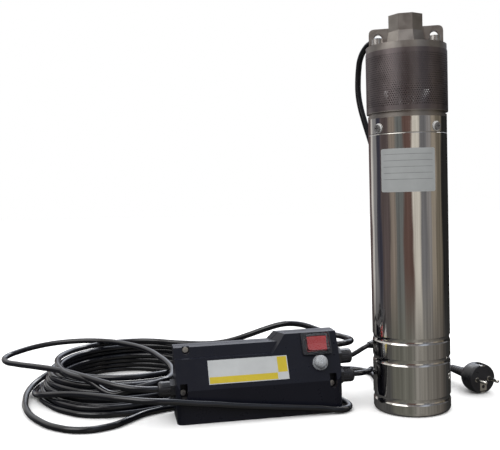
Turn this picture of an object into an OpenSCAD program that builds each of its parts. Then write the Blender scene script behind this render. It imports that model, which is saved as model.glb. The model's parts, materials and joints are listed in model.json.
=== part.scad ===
// Borehole submersible pump with its control box, cables and plug.
// Millimetres, +Z up. The origin is the centre of the pump's flat bottom face.
// The lifting ears lie along X and the front is -Y.

/* [Motor barrel] */
// Outside diameter of the polished barrel
barrel_d = 96; // [90:1:110]
// Sheet thickness of the barrel
barrel_wall = 2; // [1.5:0.1:2.5]
// Height of the barrel above the floor
barrel_h = 358; // [350:1:380]
// Depth of the rolled grooves
groove_depth = 1.2; // [0.8:0.1:1.6]
// Radius of the rolled grooves
groove_r = 7; // [4:0.5:8]
// Height of the groove round the bottom cap
cap_groove_z = 18; // [16:1:22]
// Height of the lower groove round the bearing seat
seat_groove_low_z = 66; // [64:1:70]
// Height of the upper groove round the bearing seat
seat_groove_high_z = 92; // [90:1:93]
// Radius of the rolled-in bottom edge
bottom_edge_r = 5; // [4:0.5:7]
// Distance of the thin rolled line below the barrel's top edge
bead_drop = 14; // [13:0.5:16]
// Distance of the radial screws below the barrel's top edge
barrel_screw_drop = 7; // [5:1:9]
// Thread diameter of the radial screws
barrel_screw_d = 5; // [4:0.5:6]

/* [Outlet head] */
// Diameter of the top plate
plate_d = 98; // [96:1:110]
// Thickness of the top plate
plate_t = 8; // [6:0.5:10]
// Width of the octagonal boss across its flats
boss_af = 41; // [38:1:46]
// Height of the octagonal boss
boss_h = 20; // [16:1:26]
// Height of the flare between plate and boss
flare_h = 18; // [14:1:22]
// Width of the flare across its flats at the plate
flare_d = 48; // [46:1:54]
// Core diameter of the outlet thread
outlet_d = 30.3; // [26:0.1:33.2]
// Length of the outlet thread
outlet_depth = 20; // [16:1:24]
// Distance from the axis to the outer edge of an ear
ear_reach = 45; // [42:1:47]
// Height of an ear above the plate
ear_h = 23.5; // [20:0.5:28]
// Thickness of an ear
ear_t = 10; // [8:0.5:12]
// Diameter of the rope hole in an ear
rope_hole_d = 9.5; // [8:0.5:10]
// Distance from the axis to the rope hole
rope_hole_x = 34; // [33:0.5:35]
// Height of the rope hole above the plate
rope_hole_z = 13; // [12:0.5:15]
// Thread diameter of the head screws
head_screw_d = 8; // [6:0.5:8]
// Radius of the circle of head screws
head_screw_r = 39.5; // [39.4:0.1:40.5]

/* [Inlet strainer] */
// Outside diameter of the strainer
strainer_d = 99.4; // [99:0.1:104]
// Sheet thickness of the strainer
strainer_t = 0.8; // [0.6:0.1:1]
// Diameter of a strainer hole
strainer_hole_d = 3.2; // [2:0.1:3.6]
// Rows of strainer holes
strainer_rows = 10; // [4:1:12]
// Holes in a row
strainer_holes = 28; // [16:1:36]

/* [Pump stage] */
// Height of the inlet space between support and suction cover
inlet_h = 34; // [30:1:44]
// Thickness of the suction cover
cover_t = 8; // [7:0.5:10]
// Height of the pump casing
casing_h = 32; // [30:1:40]
// Diameter of the suction cover and casing
stage_d = 92; // [91:0.5:94]
// Impeller diameter
impeller_d = 62; // [56:0.5:63]
// Impeller thickness
impeller_t = 12; // [10:0.5:14]
// Vanes round the rim of the impeller
vane_count = 30; // [20:1:36]
// Radial depth of the vane pockets
vane_depth = 5; // [3:0.5:6]
// Width of the side channel outside the impeller
channel_w = 5; // [3:0.5:5]
// Depth of the side channel above and below the impeller
channel_depth = 4; // [3:0.5:5]

/* [Motor] */
// Length of the stator and rotor iron
iron_h = 120; // [90:5:125]
// Height of the bottom of the stator and rotor iron
iron_z = 130; // [128:1:132]
// Bore of the stator
stator_bore_d = 46; // [44:0.5:48]
// Air gap between rotor and stator
air_gap = 0.5; // [0.4:0.05:0.8]
// Slots in the stator
slot_count = 24; // [12:12:24]
// Diameter of the shaft in the rotor
rotor_shaft_d = 22; // [21:0.5:24]
// Diameter of the shaft in the bearings
journal_d = 17; // [16:0.5:18]
// Diameter of the shaft in the seal
seal_shaft_d = 14; // [13.5:0.1:14.5]
// Diameter of the shaft in the impeller
impeller_shaft_d = 12; // [11:0.5:12.5]
// Outside diameter of the ball bearings
bearing_d = 40; // [38:0.5:42]
// Width of the ball bearings
bearing_w = 12; // [11:0.5:13]
// Diameter of the balls
ball_d = 6.6; // [6:0.1:7]
// Balls in a bearing
ball_count = 8; // [6:1:9]

/* [Control box] */
// Length of the box
box_l = 208; // [200:1:230]
// Depth of the box from front to back
box_d = 55; // [54:1:62]
// Height of the upright front wall
front_h = 41; // [40:1:46]
// Height of the box at the switch
box_h = 97; // [96:1:104]
// Height of the box at the low end
low_h = 88; // [86:1:90]
// Height of the ridge on the low end
ridge_h = 75; // [73:1:77]
// Distance that the slope leans back
slope_run = 30; // [28:1:32]
// Depth of the shelf behind the ridge
shelf_d = 6; // [4:0.5:7]
// Distance from the switch end to the middle of the step
step_back = 81; // [78:1:84]
// Wall thickness of the box
box_wall = 2.5; // [2:0.1:3]
// Depth of the front cover
cover_d = 44; // [43:0.5:45]
// Thread diameter of the cover screws
cover_screw_d = 4; // [3:0.5:4]
// Diameter of the motor capacitor
capacitor_d = 36; // [30:1:37]
// Length of the motor capacitor
capacitor_l = 72; // [60:1:76]
// Width of the switch bezel
bezel_w = 38; // [36:0.5:39]
// Height of the switch bezel
bezel_h = 29; // [28:0.5:29]
// Tilt of the rocker to either side
rocker_tilt = 12; // [8:1:13]
// Diameter of the reset button's boot
reset_boot_d = 19; // [18:0.5:20]
// Travel of the reset button
reset_travel = 2.5; // [1.5:0.1:2.8]

/* [Cables and plug] */
// Diameter of the pump cable
cable_d = 8; // [7:0.5:8.5]
// Diameter of the mains lead
mains_d = 7; // [6:0.5:7.5]
// Diameter of the level-switch lead
level_d = 6; // [5:0.5:6.5]
// Outside radius of the pump cable's coil
coil_r = 139; // [134:1:140]
// Inside radius of the pump cable's coil
coil_hole_r = 85; // [70:1:95]
// Height of the pump cable's coil
coil_h = 44; // [36:1:46]
// Diameter of the plug
plug_d = 40; // [38:0.5:42]
// Diameter of a plug pin
pin_d = 4.8; // [4:0.1:5]
// Distance between the plug pins
pin_gap = 19; // [17:0.5:20]
// Length of a plug pin
pin_l = 19; // [15:0.5:20]

/* [Clearances] */
// Gap between pieces that are pressed or screwed together
fit_gap = 0.05; // [0.02:0.01:0.1]
// Radial gap of a shaft that runs in a hole
run_gap = 0.05; // [0.02:0.01:0.1]
// Gap between pieces that pass each other
pass_gap = 0.4; // [0.3:0.05:0.6]

/* [Hidden] */
$fn = 96;
eps = 0.02;

steel = [0.72, 0.72, 0.70];
cast_grey = [0.36, 0.33, 0.30];
dark_steel = [0.30, 0.27, 0.24];
brass = [0.78, 0.62, 0.30];
copper = [0.72, 0.42, 0.22];
iron = [0.42, 0.43, 0.45];
rubber = [0.08, 0.08, 0.09];
shell_blue = [0.13, 0.15, 0.20];
clear = [0.85, 0.88, 0.90];

barrel_r = barrel_d / 2;
bead_z = barrel_h - bead_drop;
barrel_screw_z = barrel_h - barrel_screw_drop;
bore_r = barrel_r - barrel_wall;
spigot_r = bore_r - fit_gap;

// heights of the stage, from the top of the barrel upwards
flange_t = 9;
neck_h = 3;
deck_z = barrel_h + flange_t + neck_h;
suction_z = deck_z + inlet_h;
stage_z = suction_z + cover_t;
plate_z = stage_z + casing_h;
plate_top = plate_z + plate_t;
boss_z = plate_top + flare_h;
total_h = boss_z + boss_h;
stage_r = stage_d / 2;

// strainer seats
strainer_r = strainer_d / 2;
strainer_in_r = strainer_r - strainer_t;
locate_r = strainer_in_r - fit_gap;
lip_t = 1;
locate_h = 5;
strainer_z = deck_z + lip_t;

// head screws stand at thirty degrees to the line of ears
head_screw_angles = [30, 150, 210, 330];
head_screw_reach = 20;
pillar_r = 6;

// impeller and channel
impeller_r = impeller_d / 2;
impeller_z = stage_z + pass_gap;
chamber_top = impeller_z + impeller_t + pass_gap;
channel_r = impeller_r + channel_w;
channel_in_r = impeller_r - vane_depth;
port_in_r = channel_in_r + 0.5;
port_out_r = port_in_r + 5.5;
hub_r = 12;
key_w = 4;
key_l = 9;

// the motor's cable goes down through the block that parts the channel's two ends
lead_angle = 120;
lead_r = 40;
lead_x = lead_r * cos(lead_angle);
lead_y = lead_r * sin(lead_angle);
block_angle = 44;
port_angle = 24;
port_inset = 2;

// bearings
bearing_r = bearing_d / 2;
journal_r = journal_d / 2;
pitch_r = (bearing_r + journal_r) / 2;
ball_r = ball_d / 2;
race_gap = 4.4;
bearing_drop = 34;
upper_bearing_top = barrel_h - bearing_drop;
upper_bearing_z = upper_bearing_top - bearing_w;
lower_bearing_z = seat_groove_high_z - 16;
washer_h = 2;

// rotor and stator
rotor_r = stator_bore_d / 2 - air_gap;
iron_top = iron_z + iron_h;
end_turn_h = 18;
end_ring_h = 8;
slot_w = 3.4;
slot_depth = 12;
slot_r = stator_bore_d / 2 + 1.2;
winding_gap = 0.15;

// shaft seal, from its seat upwards
seal_r = seal_shaft_d / 2;
lip_z = upper_bearing_top + 4;
lip_h = 7;
lip_r = 12;
seat_z = lip_z + lip_h;
seat_h = 6;
seat_r = 13;
head_h = 8;
spring_h = 12;
collar_h = 3;
collar_z = seat_z + seat_h + head_h + spring_h;
slinger_z = deck_z + 2;
slinger_r = 16;
shaft_top = impeller_z + impeller_t + 7;
circlip_z = impeller_z + impeller_t + run_gap;
circlip_t = 1.2;

// seals between housings
oring_wire = 0.8;
head_oring_r = port_out_r + 2.3;
support_oring_z = barrel_h - 26;
cap_oring_z = cap_groove_z + 11;

// cable entry in the plate
grommet_r = cable_d / 2 + 2.5;
grommet_flange_r = grommet_r + 1.5;
elbow_z = plate_top + 4;
elbow_r = 10;
elbow_sweep = 60;
elbow_turn = 135;
elbow_wall = 2;
// water passage through the plate and the flare
pocket_h = 6;
passage_r = 20;
bush_r = seal_r + 3;

// bottom of the motor
cap_h = 34;
seat_low = seat_groove_low_z - 8;
seat_high = seat_groove_high_z + 6;
bead_r = 1;
bead_depth = 0.4;
// gap between a rolled-in wall and the piece inside it
roll_gap = 0.15;

// box frame: u runs along the length, v to the back
box_x = -276;
box_y = -111;
box_yaw = 22.4;
slope_deg = atan2(box_h - front_h, slope_run);
slope_l = norm([slope_run, box_h - front_h]);
step_turn = 200.7;
step_lean = 44.4;
gasket_t = 1;
back_wall = 3;
lip_wall = 1.6;
lip_h_box = 4;
rim_gap = 0.2;
corner_r = 9;
notch_w = 9;
notch_h = 14;
boss_wall = 2;
// cover screws: u, z and the depth v of their seat; the switch leaves no room for one in its corner
screw_pts = [[9, 35, 20], [box_l - 12, 35, 13], [15, low_h - 4, 38]];
step_u = box_l - step_back;
switch_from_end = 28;
switch_u = box_l - switch_from_end;
switch_s = slope_l - bezel_h / 2 - 1;
bezel_t = 3;
switch_in_w = bezel_w - 8;
switch_in_h = bezel_h - 6;
rocker_w = 24.6;
rocker_h = 17.8;
pivot_r = 1.5;
pivot_z = bezel_t - 2.2;
rocker_deep = 4;
boot_w = 30;
boot_h = 24;
boot_t = 1.2;
boot_rise = 7.2;
reset_from_end = 26.5;
reset_u = box_l - reset_from_end;
reset_s = switch_s - bezel_h / 2 - reset_boot_d / 2 - 1;
plunger_r = 3.4;
neck_r = 6;
neck_out = 5;
boot_flange = 2.5;
reset_dome_h = 12;
// glands: side of the box, v, z and the hole through the nut
glands = [[0, 31, 38, cable_d], [1, 24, 41, mains_d], [1, 33, 63, level_d]];
gland_thread_r = 8;
gland_in = 3;
gland_hex = 20;
gland_hex_h = 6;
gland_nut_r = 9.5;
gland_nut_h = 15;
capacitor_u = 70;
capacitor_gap = 5;
capacitor_v = box_d - back_wall - capacitor_d / 2 - capacitor_gap;
capacitor_z = 33;
terminal_from_end = 80;
terminal_u = box_l - terminal_from_end;
terminal_z = 22;

// plug: middle of its face on the floor plan and the turn of its pins
plug_x = 93;
plug_y = 68;
plug_turn = -57;
plug_l = 36;
relief_l = 32;
pin_root_d = pin_d + 1.4;
pin_root_l = 7;

// where a cable leaves its gland, and where the mains lead enters the plug
function box_point(u, v, z) =
    [box_x + u * cos(box_yaw) - v * sin(box_yaw), box_y + u * sin(box_yaw) + v * cos(box_yaw), z];
function gland_exit(i) = let (g = glands[i], out = gland_hex_h + gland_nut_h)
    box_point(g[0] == 0 ? -out : box_l + out, g[1], g[2]);
plug_reach = plug_l + relief_l;
plug_end = [plug_x - plug_reach * cos(plug_turn), plug_y - plug_reach * sin(plug_turn), plug_d / 2];
elbow_out = elbow_r * (1 - cos(elbow_sweep));
elbow_end = [lead_x + elbow_out * cos(elbow_turn), lead_y + elbow_out * sin(elbow_turn),
    elbow_z + elbow_r * sin(elbow_sweep)];

// Routes of the free cables, points chosen by hand along their middle lines
run_pts = [elbow_end, [-27, 42, 467.7], [-35, 49.7, 471.8], [-45.5, 60, 471], [-54.7, 69.3, 464.3],
    [-61, 75.7, 452.7], [-63.2, 77.8, 441], [-64.5, 78.5, 425], [-64.5, 78, 408], [-62, 76.5, 390],
    [-57, 74, 370], [-50, 71, 346], [-42, 67, 318], [-34, 64, 280], [-28, 62, 230], [-25, 60, 180],
    [-23, 59.5, 130], [-22, 60, 90], [-22.5, 62, 58], [-25, 67, 34], [-30, 76, 17], [-38.5, 88.5, 7.5],
    [-47, 106.5, 4.4], [-52.5, 128, 4.4], [-60, 150, 4.4], [-79, 166, 4.4], [-115, 171, 4.4], [-170, 170, 4.4],
    [-230, 172, 4.4], [-290, 182, 4.4], [-345, 184, 5], [-395, 176, 8]];
loop_a_pts = [[-366, -90, 30], [-350, -91, 34], [-334, -88.3, 38.5], [-320, -81.4, 41.5], [-311, -73.9, 43],
    [-305, -63.6, 43.8], [-303, -52, 44.6], [-305, -39, 46], [-312, -21, 48], [-323, -3, 49.7],
    [-341, 20, 51.5], [-371, 55, 53], [-415, 89, 53.5], [-470, 113, 53], [-523, 114, 51], [-564, 101, 47],
    [-590, 79, 42], [-598.5, 55, 39], [-586, 31, 38], [-553, 8, 40], [-508, -19, 44], [-455, -47, 46.5],
    [-412, -73, 46.5], [-375, -91, 44], [-345, -98.5, 41], [-322, -96.3, 39], gland_exit(0)];
loop_b_pts = [[-520, 56, 21], [-529, 26, 14], [-528, -6, 8.5], [-513, -45, 5], [-487, -88, 4.4],
    [-453, -124, 4.4], [-414, -148, 4.4], [-378, -152, 4.4], [-352, -134, 4.4], [-340, -108, 4.4],
    [-331, -84, 4.4], [-316.5, -65, 4.4]];
front_pts = [[-440, -76, 24], [-412, -92, 29], [-380, -110, 33], [-340, -124, 34.5], [-308, -126.5, 33.5],
    [-280, -119, 31.6], [-255.8, -109, 27.8], [-231.3, -99, 24.6], [-206.5, -88.8, 20.7],
    [-181.4, -78.4, 17.5], [-156.1, -68, 14.4], [-130.5, -57.4, 11.5], [-108.2, -48.5, 8.8],
    [-99.4, -44.9, 7], [-91.3, -41.9, 5.7], [-83.6, -37.2, 4.9], [-78.6, -29, 4.5], [-77.8, -19.6, 4.4],
    [-80.8, -10, 4.4], [-88, 1.1, 4.4], [-96.1, 14, 4.4], [-106.3, 27.1, 4.4], [-119.3, 39, 4.4],
    [-135.2, 48.7, 4.4], [-152.2, 55.8, 4.6], [-172, 64, 5.6], [-197, 62, 10],
    [-217, 54, 18], [-228, 41, 29], [-227, 28, 41], [-213, 18.5, 52], [-192, 15.5, 60], [-168, 17.5, 65],
    [-143, 22.5, 67.5], [-118, 28, 70], [-99, 34, 71], [-87, 44, 71], [-81, 61, 70], [-84, 80, 69],
    [-95, 95, 69], [-113, 101, 72], [-131, 98, 78], [-146, 92, 84.5], [-161, 88, 88], [-177, 86, 88],
    [-198, 87, 82.5], [-227, 89, 72], [-250, 94, 63.5], [-275, 104, 56], [-303, 116, 50.5],
    [-335, 127, 47], [-366, 133, 43]];
mains_in_pts = [gland_exit(1), [-65.3, 2.3, 41], [-58.7, 8.4, 41], [-54.5, 16.2, 40.9], [-53, 25, 40.2],
    [-52.6, 34, 38.8], [-52, 45, 36], [-50, 56, 32.4], [-46.5, 69, 27.4], [-42, 86, 20], [-38, 102, 13]];
mains_out_pts = [[14, 155, 17.5], [30, 152, 18], [44, 143, 19], plug_end];
level_pts = [gland_exit(2), [-70, 10, 66], [-62, 13.5, 70.5], [-54.2, 18.9, 74]];
coil_x = -395;
coil_y = 45;
mains_coil_y = 119;
mains_coil_r = 43;
mains_coil_hole_r = 28;
mains_coil_h = 21;
socket_turn = 53;
socket_d = 12.5;
socket_l = 34;

// Helpers

module ring(outer, inner, low, tall) {
    difference() {
        translate([0, 0, low]) cylinder(r = outer, h = tall);
        translate([0, 0, low - 1]) cylinder(r = inner, h = tall + 2);
    }
}

module head_screw_places() {
    for (turn = head_screw_angles) rotate([0, 0, turn]) translate([head_screw_r, 0, 0]) children();
}

module barrel_screw_places() {
    for (turn = [45 : 90 : 315]) rotate([0, 0, turn])
        translate([barrel_r, 0, barrel_screw_z]) rotate([0, 90, 0]) children();
}

// section of a ring-shaped sweep between two angles
module sector(from, sweep) {
    rotate([0, 0, from]) rotate_extrude(angle = sweep) children();
}

// points of a polygon with its corners rounded by a short curve; each entry is [x, y, radius]
function unit(v) = v / norm(v);
function rounded(pts, steps = 4) = let (n = len(pts)) [
    for (i = [0 : n - 1])
        let (here = [pts[i][0], pts[i][1]],
             last = [pts[(i + n - 1) % n][0], pts[(i + n - 1) % n][1]],
             next = [pts[(i + 1) % n][0], pts[(i + 1) % n][1]],
             r = pts[i][2],
             a = here + r * unit(last - here),
             b = here + r * unit(next - here))
        each r == 0 ? [here] : [for (k = [0 : steps])
            let (t = k / steps) (1 - t) * (1 - t) * a + 2 * t * (1 - t) * here + t * t * b]];

// the same polygon with every side moved inwards by a distance; its points run clockwise
function side_normal(a, b) = let (d = unit(b - a)) [d[1], -d[0]];
function meet(p, d, q, e) = p + d * ((q - p) * [e[1], -e[0]]) / (d * [e[1], -e[0]]);
function inset(pts, by) = let (n = len(pts)) [
    for (i = [0 : n - 1])
        let (last = pts[(i + n - 1) % n], here = pts[i], next = pts[(i + 1) % n])
        meet(last + by * side_normal(last, here), here - last,
            here + by * side_normal(here, next), next - here)];

// a tube along hand-chosen points, closed at both ends
function along(pts, i) = unit(pts[min(i + 1, len(pts) - 1)] - pts[max(i - 1, 0)]);
function side_of(pts, i) = let (d = along(pts, i), up = abs(d[2]) > 0.9 ? [0, 1, 0] : [0, 0, 1])
    unit(cross(up, d));
function tube_ring(pts, i, r, sides) = let (d = along(pts, i), s = side_of(pts, i), t = cross(d, s))
    [for (k = [0 : sides - 1]) pts[i] + r * (cos(360 * k / sides) * s + sin(360 * k / sides) * t)];
module tube(pts, d, sides = 8) {
    n = len(pts);
    polyhedron(
        points = [for (i = [0 : n - 1]) each tube_ring(pts, i, d / 2, sides)],
        faces = concat([[for (k = [sides - 1 : -1 : 0]) k]],
            [for (i = [0 : n - 2], k = [0 : sides - 1]) let (here = i * sides, on = (k + 1) % sides)
                [here + k, here + on, here + sides + on, here + sides + k]],
            [[for (k = [0 : sides - 1]) (n - 1) * sides + k]]));
}

// Outlet head and strainer

module ear(side) {
    root_x = boss_af / 4;
    outline = rounded([[root_x, -1, 0], [root_x, ear_h, 0], [ear_reach, ear_h, 7], [ear_reach, -1, 0]]);
    mirror([side < 0 ? 1 : 0, 0, 0]) translate([0, ear_t / 2, plate_top]) rotate([90, 0, 0])
        linear_extrude(ear_t) polygon(outline);
}

module outlet_head() {
    thread_z = total_h - outlet_depth;
    color(cast_grey) difference() {
        union() {
            translate([0, 0, plate_z]) cylinder(r = plate_d / 2, h = plate_t);
            ring(locate_r, stage_r + pass_gap, plate_z - locate_h, locate_h + eps);
            translate([0, 0, plate_top - eps]) rotate([0, 0, 22.5])
                cylinder(d1 = flare_d / cos(22.5), d2 = boss_af / cos(22.5), h = flare_h + eps, $fn = 8);
            translate([0, 0, boss_z - eps]) rotate([0, 0, 22.5])
                cylinder(d = boss_af / cos(22.5), h = boss_h + eps, $fn = 8);
            ear(-1);
            ear(1);
        }
        translate([0, 0, thread_z - eps]) cylinder(d = outlet_d, h = outlet_depth + 1);
        translate([0, 0, plate_z - eps]) cylinder(r1 = port_out_r + 1, r2 = passage_r, h = pocket_h + eps);
        translate([0, 0, plate_z + pocket_h - eps])
            cylinder(r1 = passage_r, r2 = outlet_d / 2, h = thread_z - plate_z - pocket_h + eps);
        head_screw_places() translate([0, 0, plate_z - 1])
            cylinder(d = head_screw_d + pass_gap, h = plate_t + 2);
        for (side = [-1, 1]) translate([side * rope_hole_x, 0, plate_top + rope_hole_z]) rotate([90, 0, 0])
            cylinder(d = rope_hole_d, h = ear_t + 2, center = true);
        translate([lead_x, lead_y, plate_z - 1]) cylinder(r = grommet_r, h = plate_t + 2);
    }
}

module head_screws() {
    head_h_mm = head_screw_d;
    color(steel) head_screw_places() difference() {
        union() {
            translate([0, 0, plate_top]) cylinder(d = head_screw_d * 1.625, h = head_h_mm);
            translate([0, 0, suction_z - head_screw_reach])
                cylinder(d = head_screw_d, h = plate_top - suction_z + head_screw_reach);
        }
        translate([0, 0, plate_top + head_h_mm / 2])
            cylinder(d = head_screw_d * 0.86, h = head_h_mm, $fn = 6);
    }
}

module inlet_strainer() {
    tall = plate_z - strainer_z;
    margin = 11;
    pitch = (tall - 2 * margin) / (strainer_rows - 1);
    step = 360 / strainer_holes;
    color(dark_steel) difference() {
        ring(strainer_r, strainer_in_r, strainer_z, tall);
        for (row = [0 : strainer_rows - 1], i = [0 : strainer_holes - 1])
            translate([0, 0, strainer_z + margin + row * pitch]) rotate([0, 90, (i + (row % 2) / 2) * step])
                translate([0, 0, strainer_in_r - 1]) cylinder(d = strainer_hole_d, h = strainer_t + 2);
    }
}

// Pump stage

module channel(low, tall) {
    sector(lead_angle + block_angle / 2, 360 - block_angle)
        translate([channel_in_r, low]) square([channel_r - channel_in_r, tall]);
}

module port(from, low, tall) {
    sector(from, port_angle) translate([port_in_r, low]) square([port_out_r - port_in_r, tall]);
}

module stage_holes(low, tall) {
    head_screw_places() translate([0, 0, low]) cylinder(d = head_screw_d + pass_gap, h = tall);
    translate([lead_x, lead_y, low]) cylinder(d = cable_d + pass_gap, h = tall);
}

module pump_casing() {
    channel_top = chamber_top + channel_depth;
    color(cast_grey) difference() {
        translate([0, 0, stage_z]) cylinder(r = stage_r, h = casing_h);
        translate([0, 0, stage_z - 1]) cylinder(r = impeller_r + pass_gap, h = chamber_top - stage_z + 1);
        channel(stage_z - eps, channel_top - stage_z + eps);
        port(lead_angle - block_angle / 2 - port_angle - port_inset, channel_top - eps,
            plate_z - channel_top + 1);
        translate([0, 0, chamber_top - eps]) cylinder(r = hub_r, h = shaft_top - chamber_top + 2);
        rotate_extrude() translate([head_oring_r - oring_wire, plate_z - 2 * oring_wire])
            square([2 * oring_wire, 3]);
        stage_holes(stage_z - 1, casing_h + 2);
    }
}

module suction_cover() {
    color(cast_grey) difference() {
        translate([0, 0, suction_z]) cylinder(r = stage_r, h = cover_t);
        channel(stage_z - channel_depth, channel_depth + 1);
        port(lead_angle + block_angle / 2 + port_inset, suction_z - 1, cover_t - channel_depth + 1 + eps);
        translate([0, 0, suction_z - 1]) cylinder(r = bush_r, h = cover_t + 2);
        stage_holes(suction_z - 1, cover_t + 2);
    }
}

module shaft_bush() {
    color(brass) ring(bush_r - fit_gap, seal_r + run_gap, suction_z, cover_t);
}

module impeller() {
    web = 3;
    pocket_w = 4;
    pocket_h = (impeller_t - web) / 2;
    shaft_r = impeller_shaft_d / 2;
    color(brass) difference() {
        translate([0, 0, impeller_z]) cylinder(r = impeller_r, h = impeller_t);
        for (i = [0 : vane_count - 1], low = [-1, impeller_t - pocket_h]) rotate([0, 0, i * 360 / vane_count])
            translate([impeller_r - vane_depth, -pocket_w / 2, impeller_z + low])
                cube([vane_depth + 1, pocket_w, pocket_h + 1]);
        translate([0, 0, impeller_z - 1]) cylinder(r = shaft_r + fit_gap, h = impeller_t + 2);
        translate([0, -key_w / 2 - fit_gap, impeller_z - 1])
            cube([shaft_r + key_w / 2 + fit_gap, key_w + 2 * fit_gap, impeller_t + 2]);
        for (turn = [36 : 72 : 324]) rotate([0, 0, turn])
            translate([(hub_r + impeller_r - vane_depth) / 2, 0, impeller_z - 1])
                cylinder(r = 2.5, h = impeller_t + 2);
    }
}

module impeller_key() {
    color(steel) translate([impeller_shaft_d / 2 - key_w / 2, -key_w / 2, impeller_z + 1])
        cube([key_w, key_w, key_l]);
}

module impeller_circlip() {
    inner = impeller_shaft_d / 2 - 0.7 + fit_gap;
    color(steel) difference() {
        ring(impeller_shaft_d / 2 + 1.4, inner, circlip_z, circlip_t);
        rotate([0, 0, 60]) translate([0, -2, circlip_z - 1]) cube([impeller_d, 4, circlip_t + 2]);
    }
}

module sand_slinger() {
    hub = seal_r + 4;
    color(rubber) translate([0, 0, slinger_z]) rotate_extrude()
        polygon([[seal_r + fit_gap, 0], [hub, 0], [hub, 4], [slinger_r, 1.5], [slinger_r, 3.5], [hub, 8],
            [seal_r + fit_gap, 8]]);
}

// Motor support and shaft seal

module spigot_groove(z) {
    rotate_extrude() translate([spigot_r - 2 * oring_wire, z - oring_wire]) square([4, 2 * oring_wire]);
}

module motor_support() {
    hub_out = bearing_r + 6;
    spigot_h = 40;
    rib_t = 5;
    color(cast_grey) difference() {
        union() {
            ring(spigot_r, spigot_r - 6, barrel_h - spigot_h, spigot_h + eps);
            translate([0, 0, barrel_h]) cylinder(r = barrel_r, h = flange_t);
            translate([0, 0, barrel_h - 6]) cylinder(r = spigot_r - 1, h = 6 + eps);
            translate([0, 0, barrel_h + flange_t - eps]) cylinder(r = barrel_r - 1.5, h = neck_h + eps);
            translate([0, 0, deck_z - eps]) cylinder(r = strainer_r - strainer_t / 4, h = lip_t + eps);
            ring(locate_r, locate_r - 3.5, strainer_z - eps, locate_h);
            translate([0, 0, upper_bearing_z - 2]) cylinder(r = hub_out, h = deck_z - upper_bearing_z + 2);
            for (turn = [0 : 90 : 270]) rotate([0, 0, turn])
                translate([hub_out - 2, -rib_t / 2, barrel_h - spigot_h + 4])
                    cube([spigot_r - hub_out - 2, rib_t, spigot_h - 4]);
            head_screw_places() translate([0, 0, deck_z]) cylinder(r = pillar_r, h = inlet_h);
        }
        translate([0, 0, upper_bearing_z - 3]) cylinder(r = bearing_r + fit_gap, h = bearing_w + 3);
        translate([0, 0, upper_bearing_top - 1])
            cylinder(r = seal_r + pass_gap, h = lip_z - upper_bearing_top + 2);
        translate([0, 0, lip_z]) cylinder(r = lip_r, h = lip_h + 1);
        translate([0, 0, seat_z]) cylinder(r = seat_r, h = seat_h + 1);
        translate([0, 0, seat_z + seat_h]) cylinder(r = seat_r + 2, h = deck_z - seat_z);
        head_screw_places() translate([0, 0, suction_z - head_screw_reach - 1])
            cylinder(d = head_screw_d + 2 * fit_gap, h = head_screw_reach + 2);
        barrel_screw_places() translate([0, 0, -11]) cylinder(d = barrel_screw_d + 2 * fit_gap, h = 12);
        translate([lead_x, lead_y, barrel_h - spigot_h - 1])
            cylinder(d = cable_d + 2 * fit_gap, h = spigot_h + flange_t + neck_h + 4);
        spigot_groove(support_oring_z);
    }
}

module o_rings() {
    color(rubber) {
        rotate_extrude() translate([head_oring_r, plate_z - oring_wire]) circle(r = oring_wire - fit_gap);
        rotate_extrude() translate([spigot_r - oring_wire, support_oring_z]) circle(r = oring_wire - fit_gap);
        rotate_extrude() translate([spigot_r - oring_wire, cap_oring_z]) circle(r = oring_wire - fit_gap);
    }
}

module seal_seat() {
    color("white") ring(seat_r - fit_gap, seal_r + pass_gap, seat_z, seat_h);
}

module seal_head() {
    face_z = seat_z + seat_h + run_gap;
    color(iron) union() {
        ring(seal_r + 3.2, seal_r + fit_gap, face_z, 3);
        ring(seal_r + 4.5, seal_r + fit_gap, face_z + 2, head_h - 2 - run_gap);
    }
}

module seal_spring() {
    turns = 4;
    steps = 14;
    wire = 1.4;
    mid_r = seal_r + 2.4;
    rise = spring_h - wire;
    low = seat_z + seat_h + head_h + wire / 2;
    color(steel) tube([for (i = [0 : turns * steps]) let (turn = i * 360 / steps)
        [mid_r * cos(turn), mid_r * sin(turn), low + rise * i / (turns * steps)]], wire, 6);
}

module seal_collar() {
    color(steel) ring(seal_r + 4, seal_r + fit_gap, collar_z, collar_h);
}

module lip_seal() {
    edge = seal_r + run_gap;
    back = seal_r + 1.5;
    color(rubber) translate([0, 0, lip_z]) rotate_extrude()
        polygon([[lip_r - fit_gap, 0], [lip_r - fit_gap, lip_h], [back, lip_h], [edge, lip_h - 1.5],
            [edge, lip_h - 2.5], [lip_r - 2.5, 2], [back, 2], [back, 0]]);
}

// Ball bearings

module race_groove(z) {
    rotate_extrude() translate([pitch_r, z + bearing_w / 2]) circle(r = ball_r + run_gap);
}

module outer_race(z) {
    color(steel) difference() {
        ring(bearing_r, pitch_r + race_gap / 2, z, bearing_w);
        race_groove(z);
    }
}

module inner_race(z) {
    color(steel) difference() {
        ring(pitch_r - race_gap / 2, journal_r + fit_gap, z, bearing_w);
        race_groove(z);
    }
}

module balls(z) {
    color(steel) union() {
        ring(pitch_r + 0.7, pitch_r - 0.7, z + bearing_w / 2 - 2, 4);
        for (i = [0 : ball_count - 1]) rotate([0, 0, i * 360 / ball_count])
            translate([pitch_r, 0, z + bearing_w / 2]) sphere(r = ball_r);
    }
}

module upper_bearing_outer() { outer_race(upper_bearing_z); }
module upper_bearing_inner() { inner_race(upper_bearing_z); }
module upper_bearing_balls() { balls(upper_bearing_z); }
module lower_bearing_outer() { outer_race(lower_bearing_z); }
module lower_bearing_inner() { inner_race(lower_bearing_z); }
module lower_bearing_balls() { balls(lower_bearing_z); }

module wave_washer() {
    color(steel) ring(bearing_r - 0.5, bearing_r - 4, lower_bearing_z - washer_h, washer_h);
}

// Motor

module shaft_step(r, low, high) {
    translate([0, 0, low]) cylinder(r = r, h = high - low + eps);
}

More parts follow.
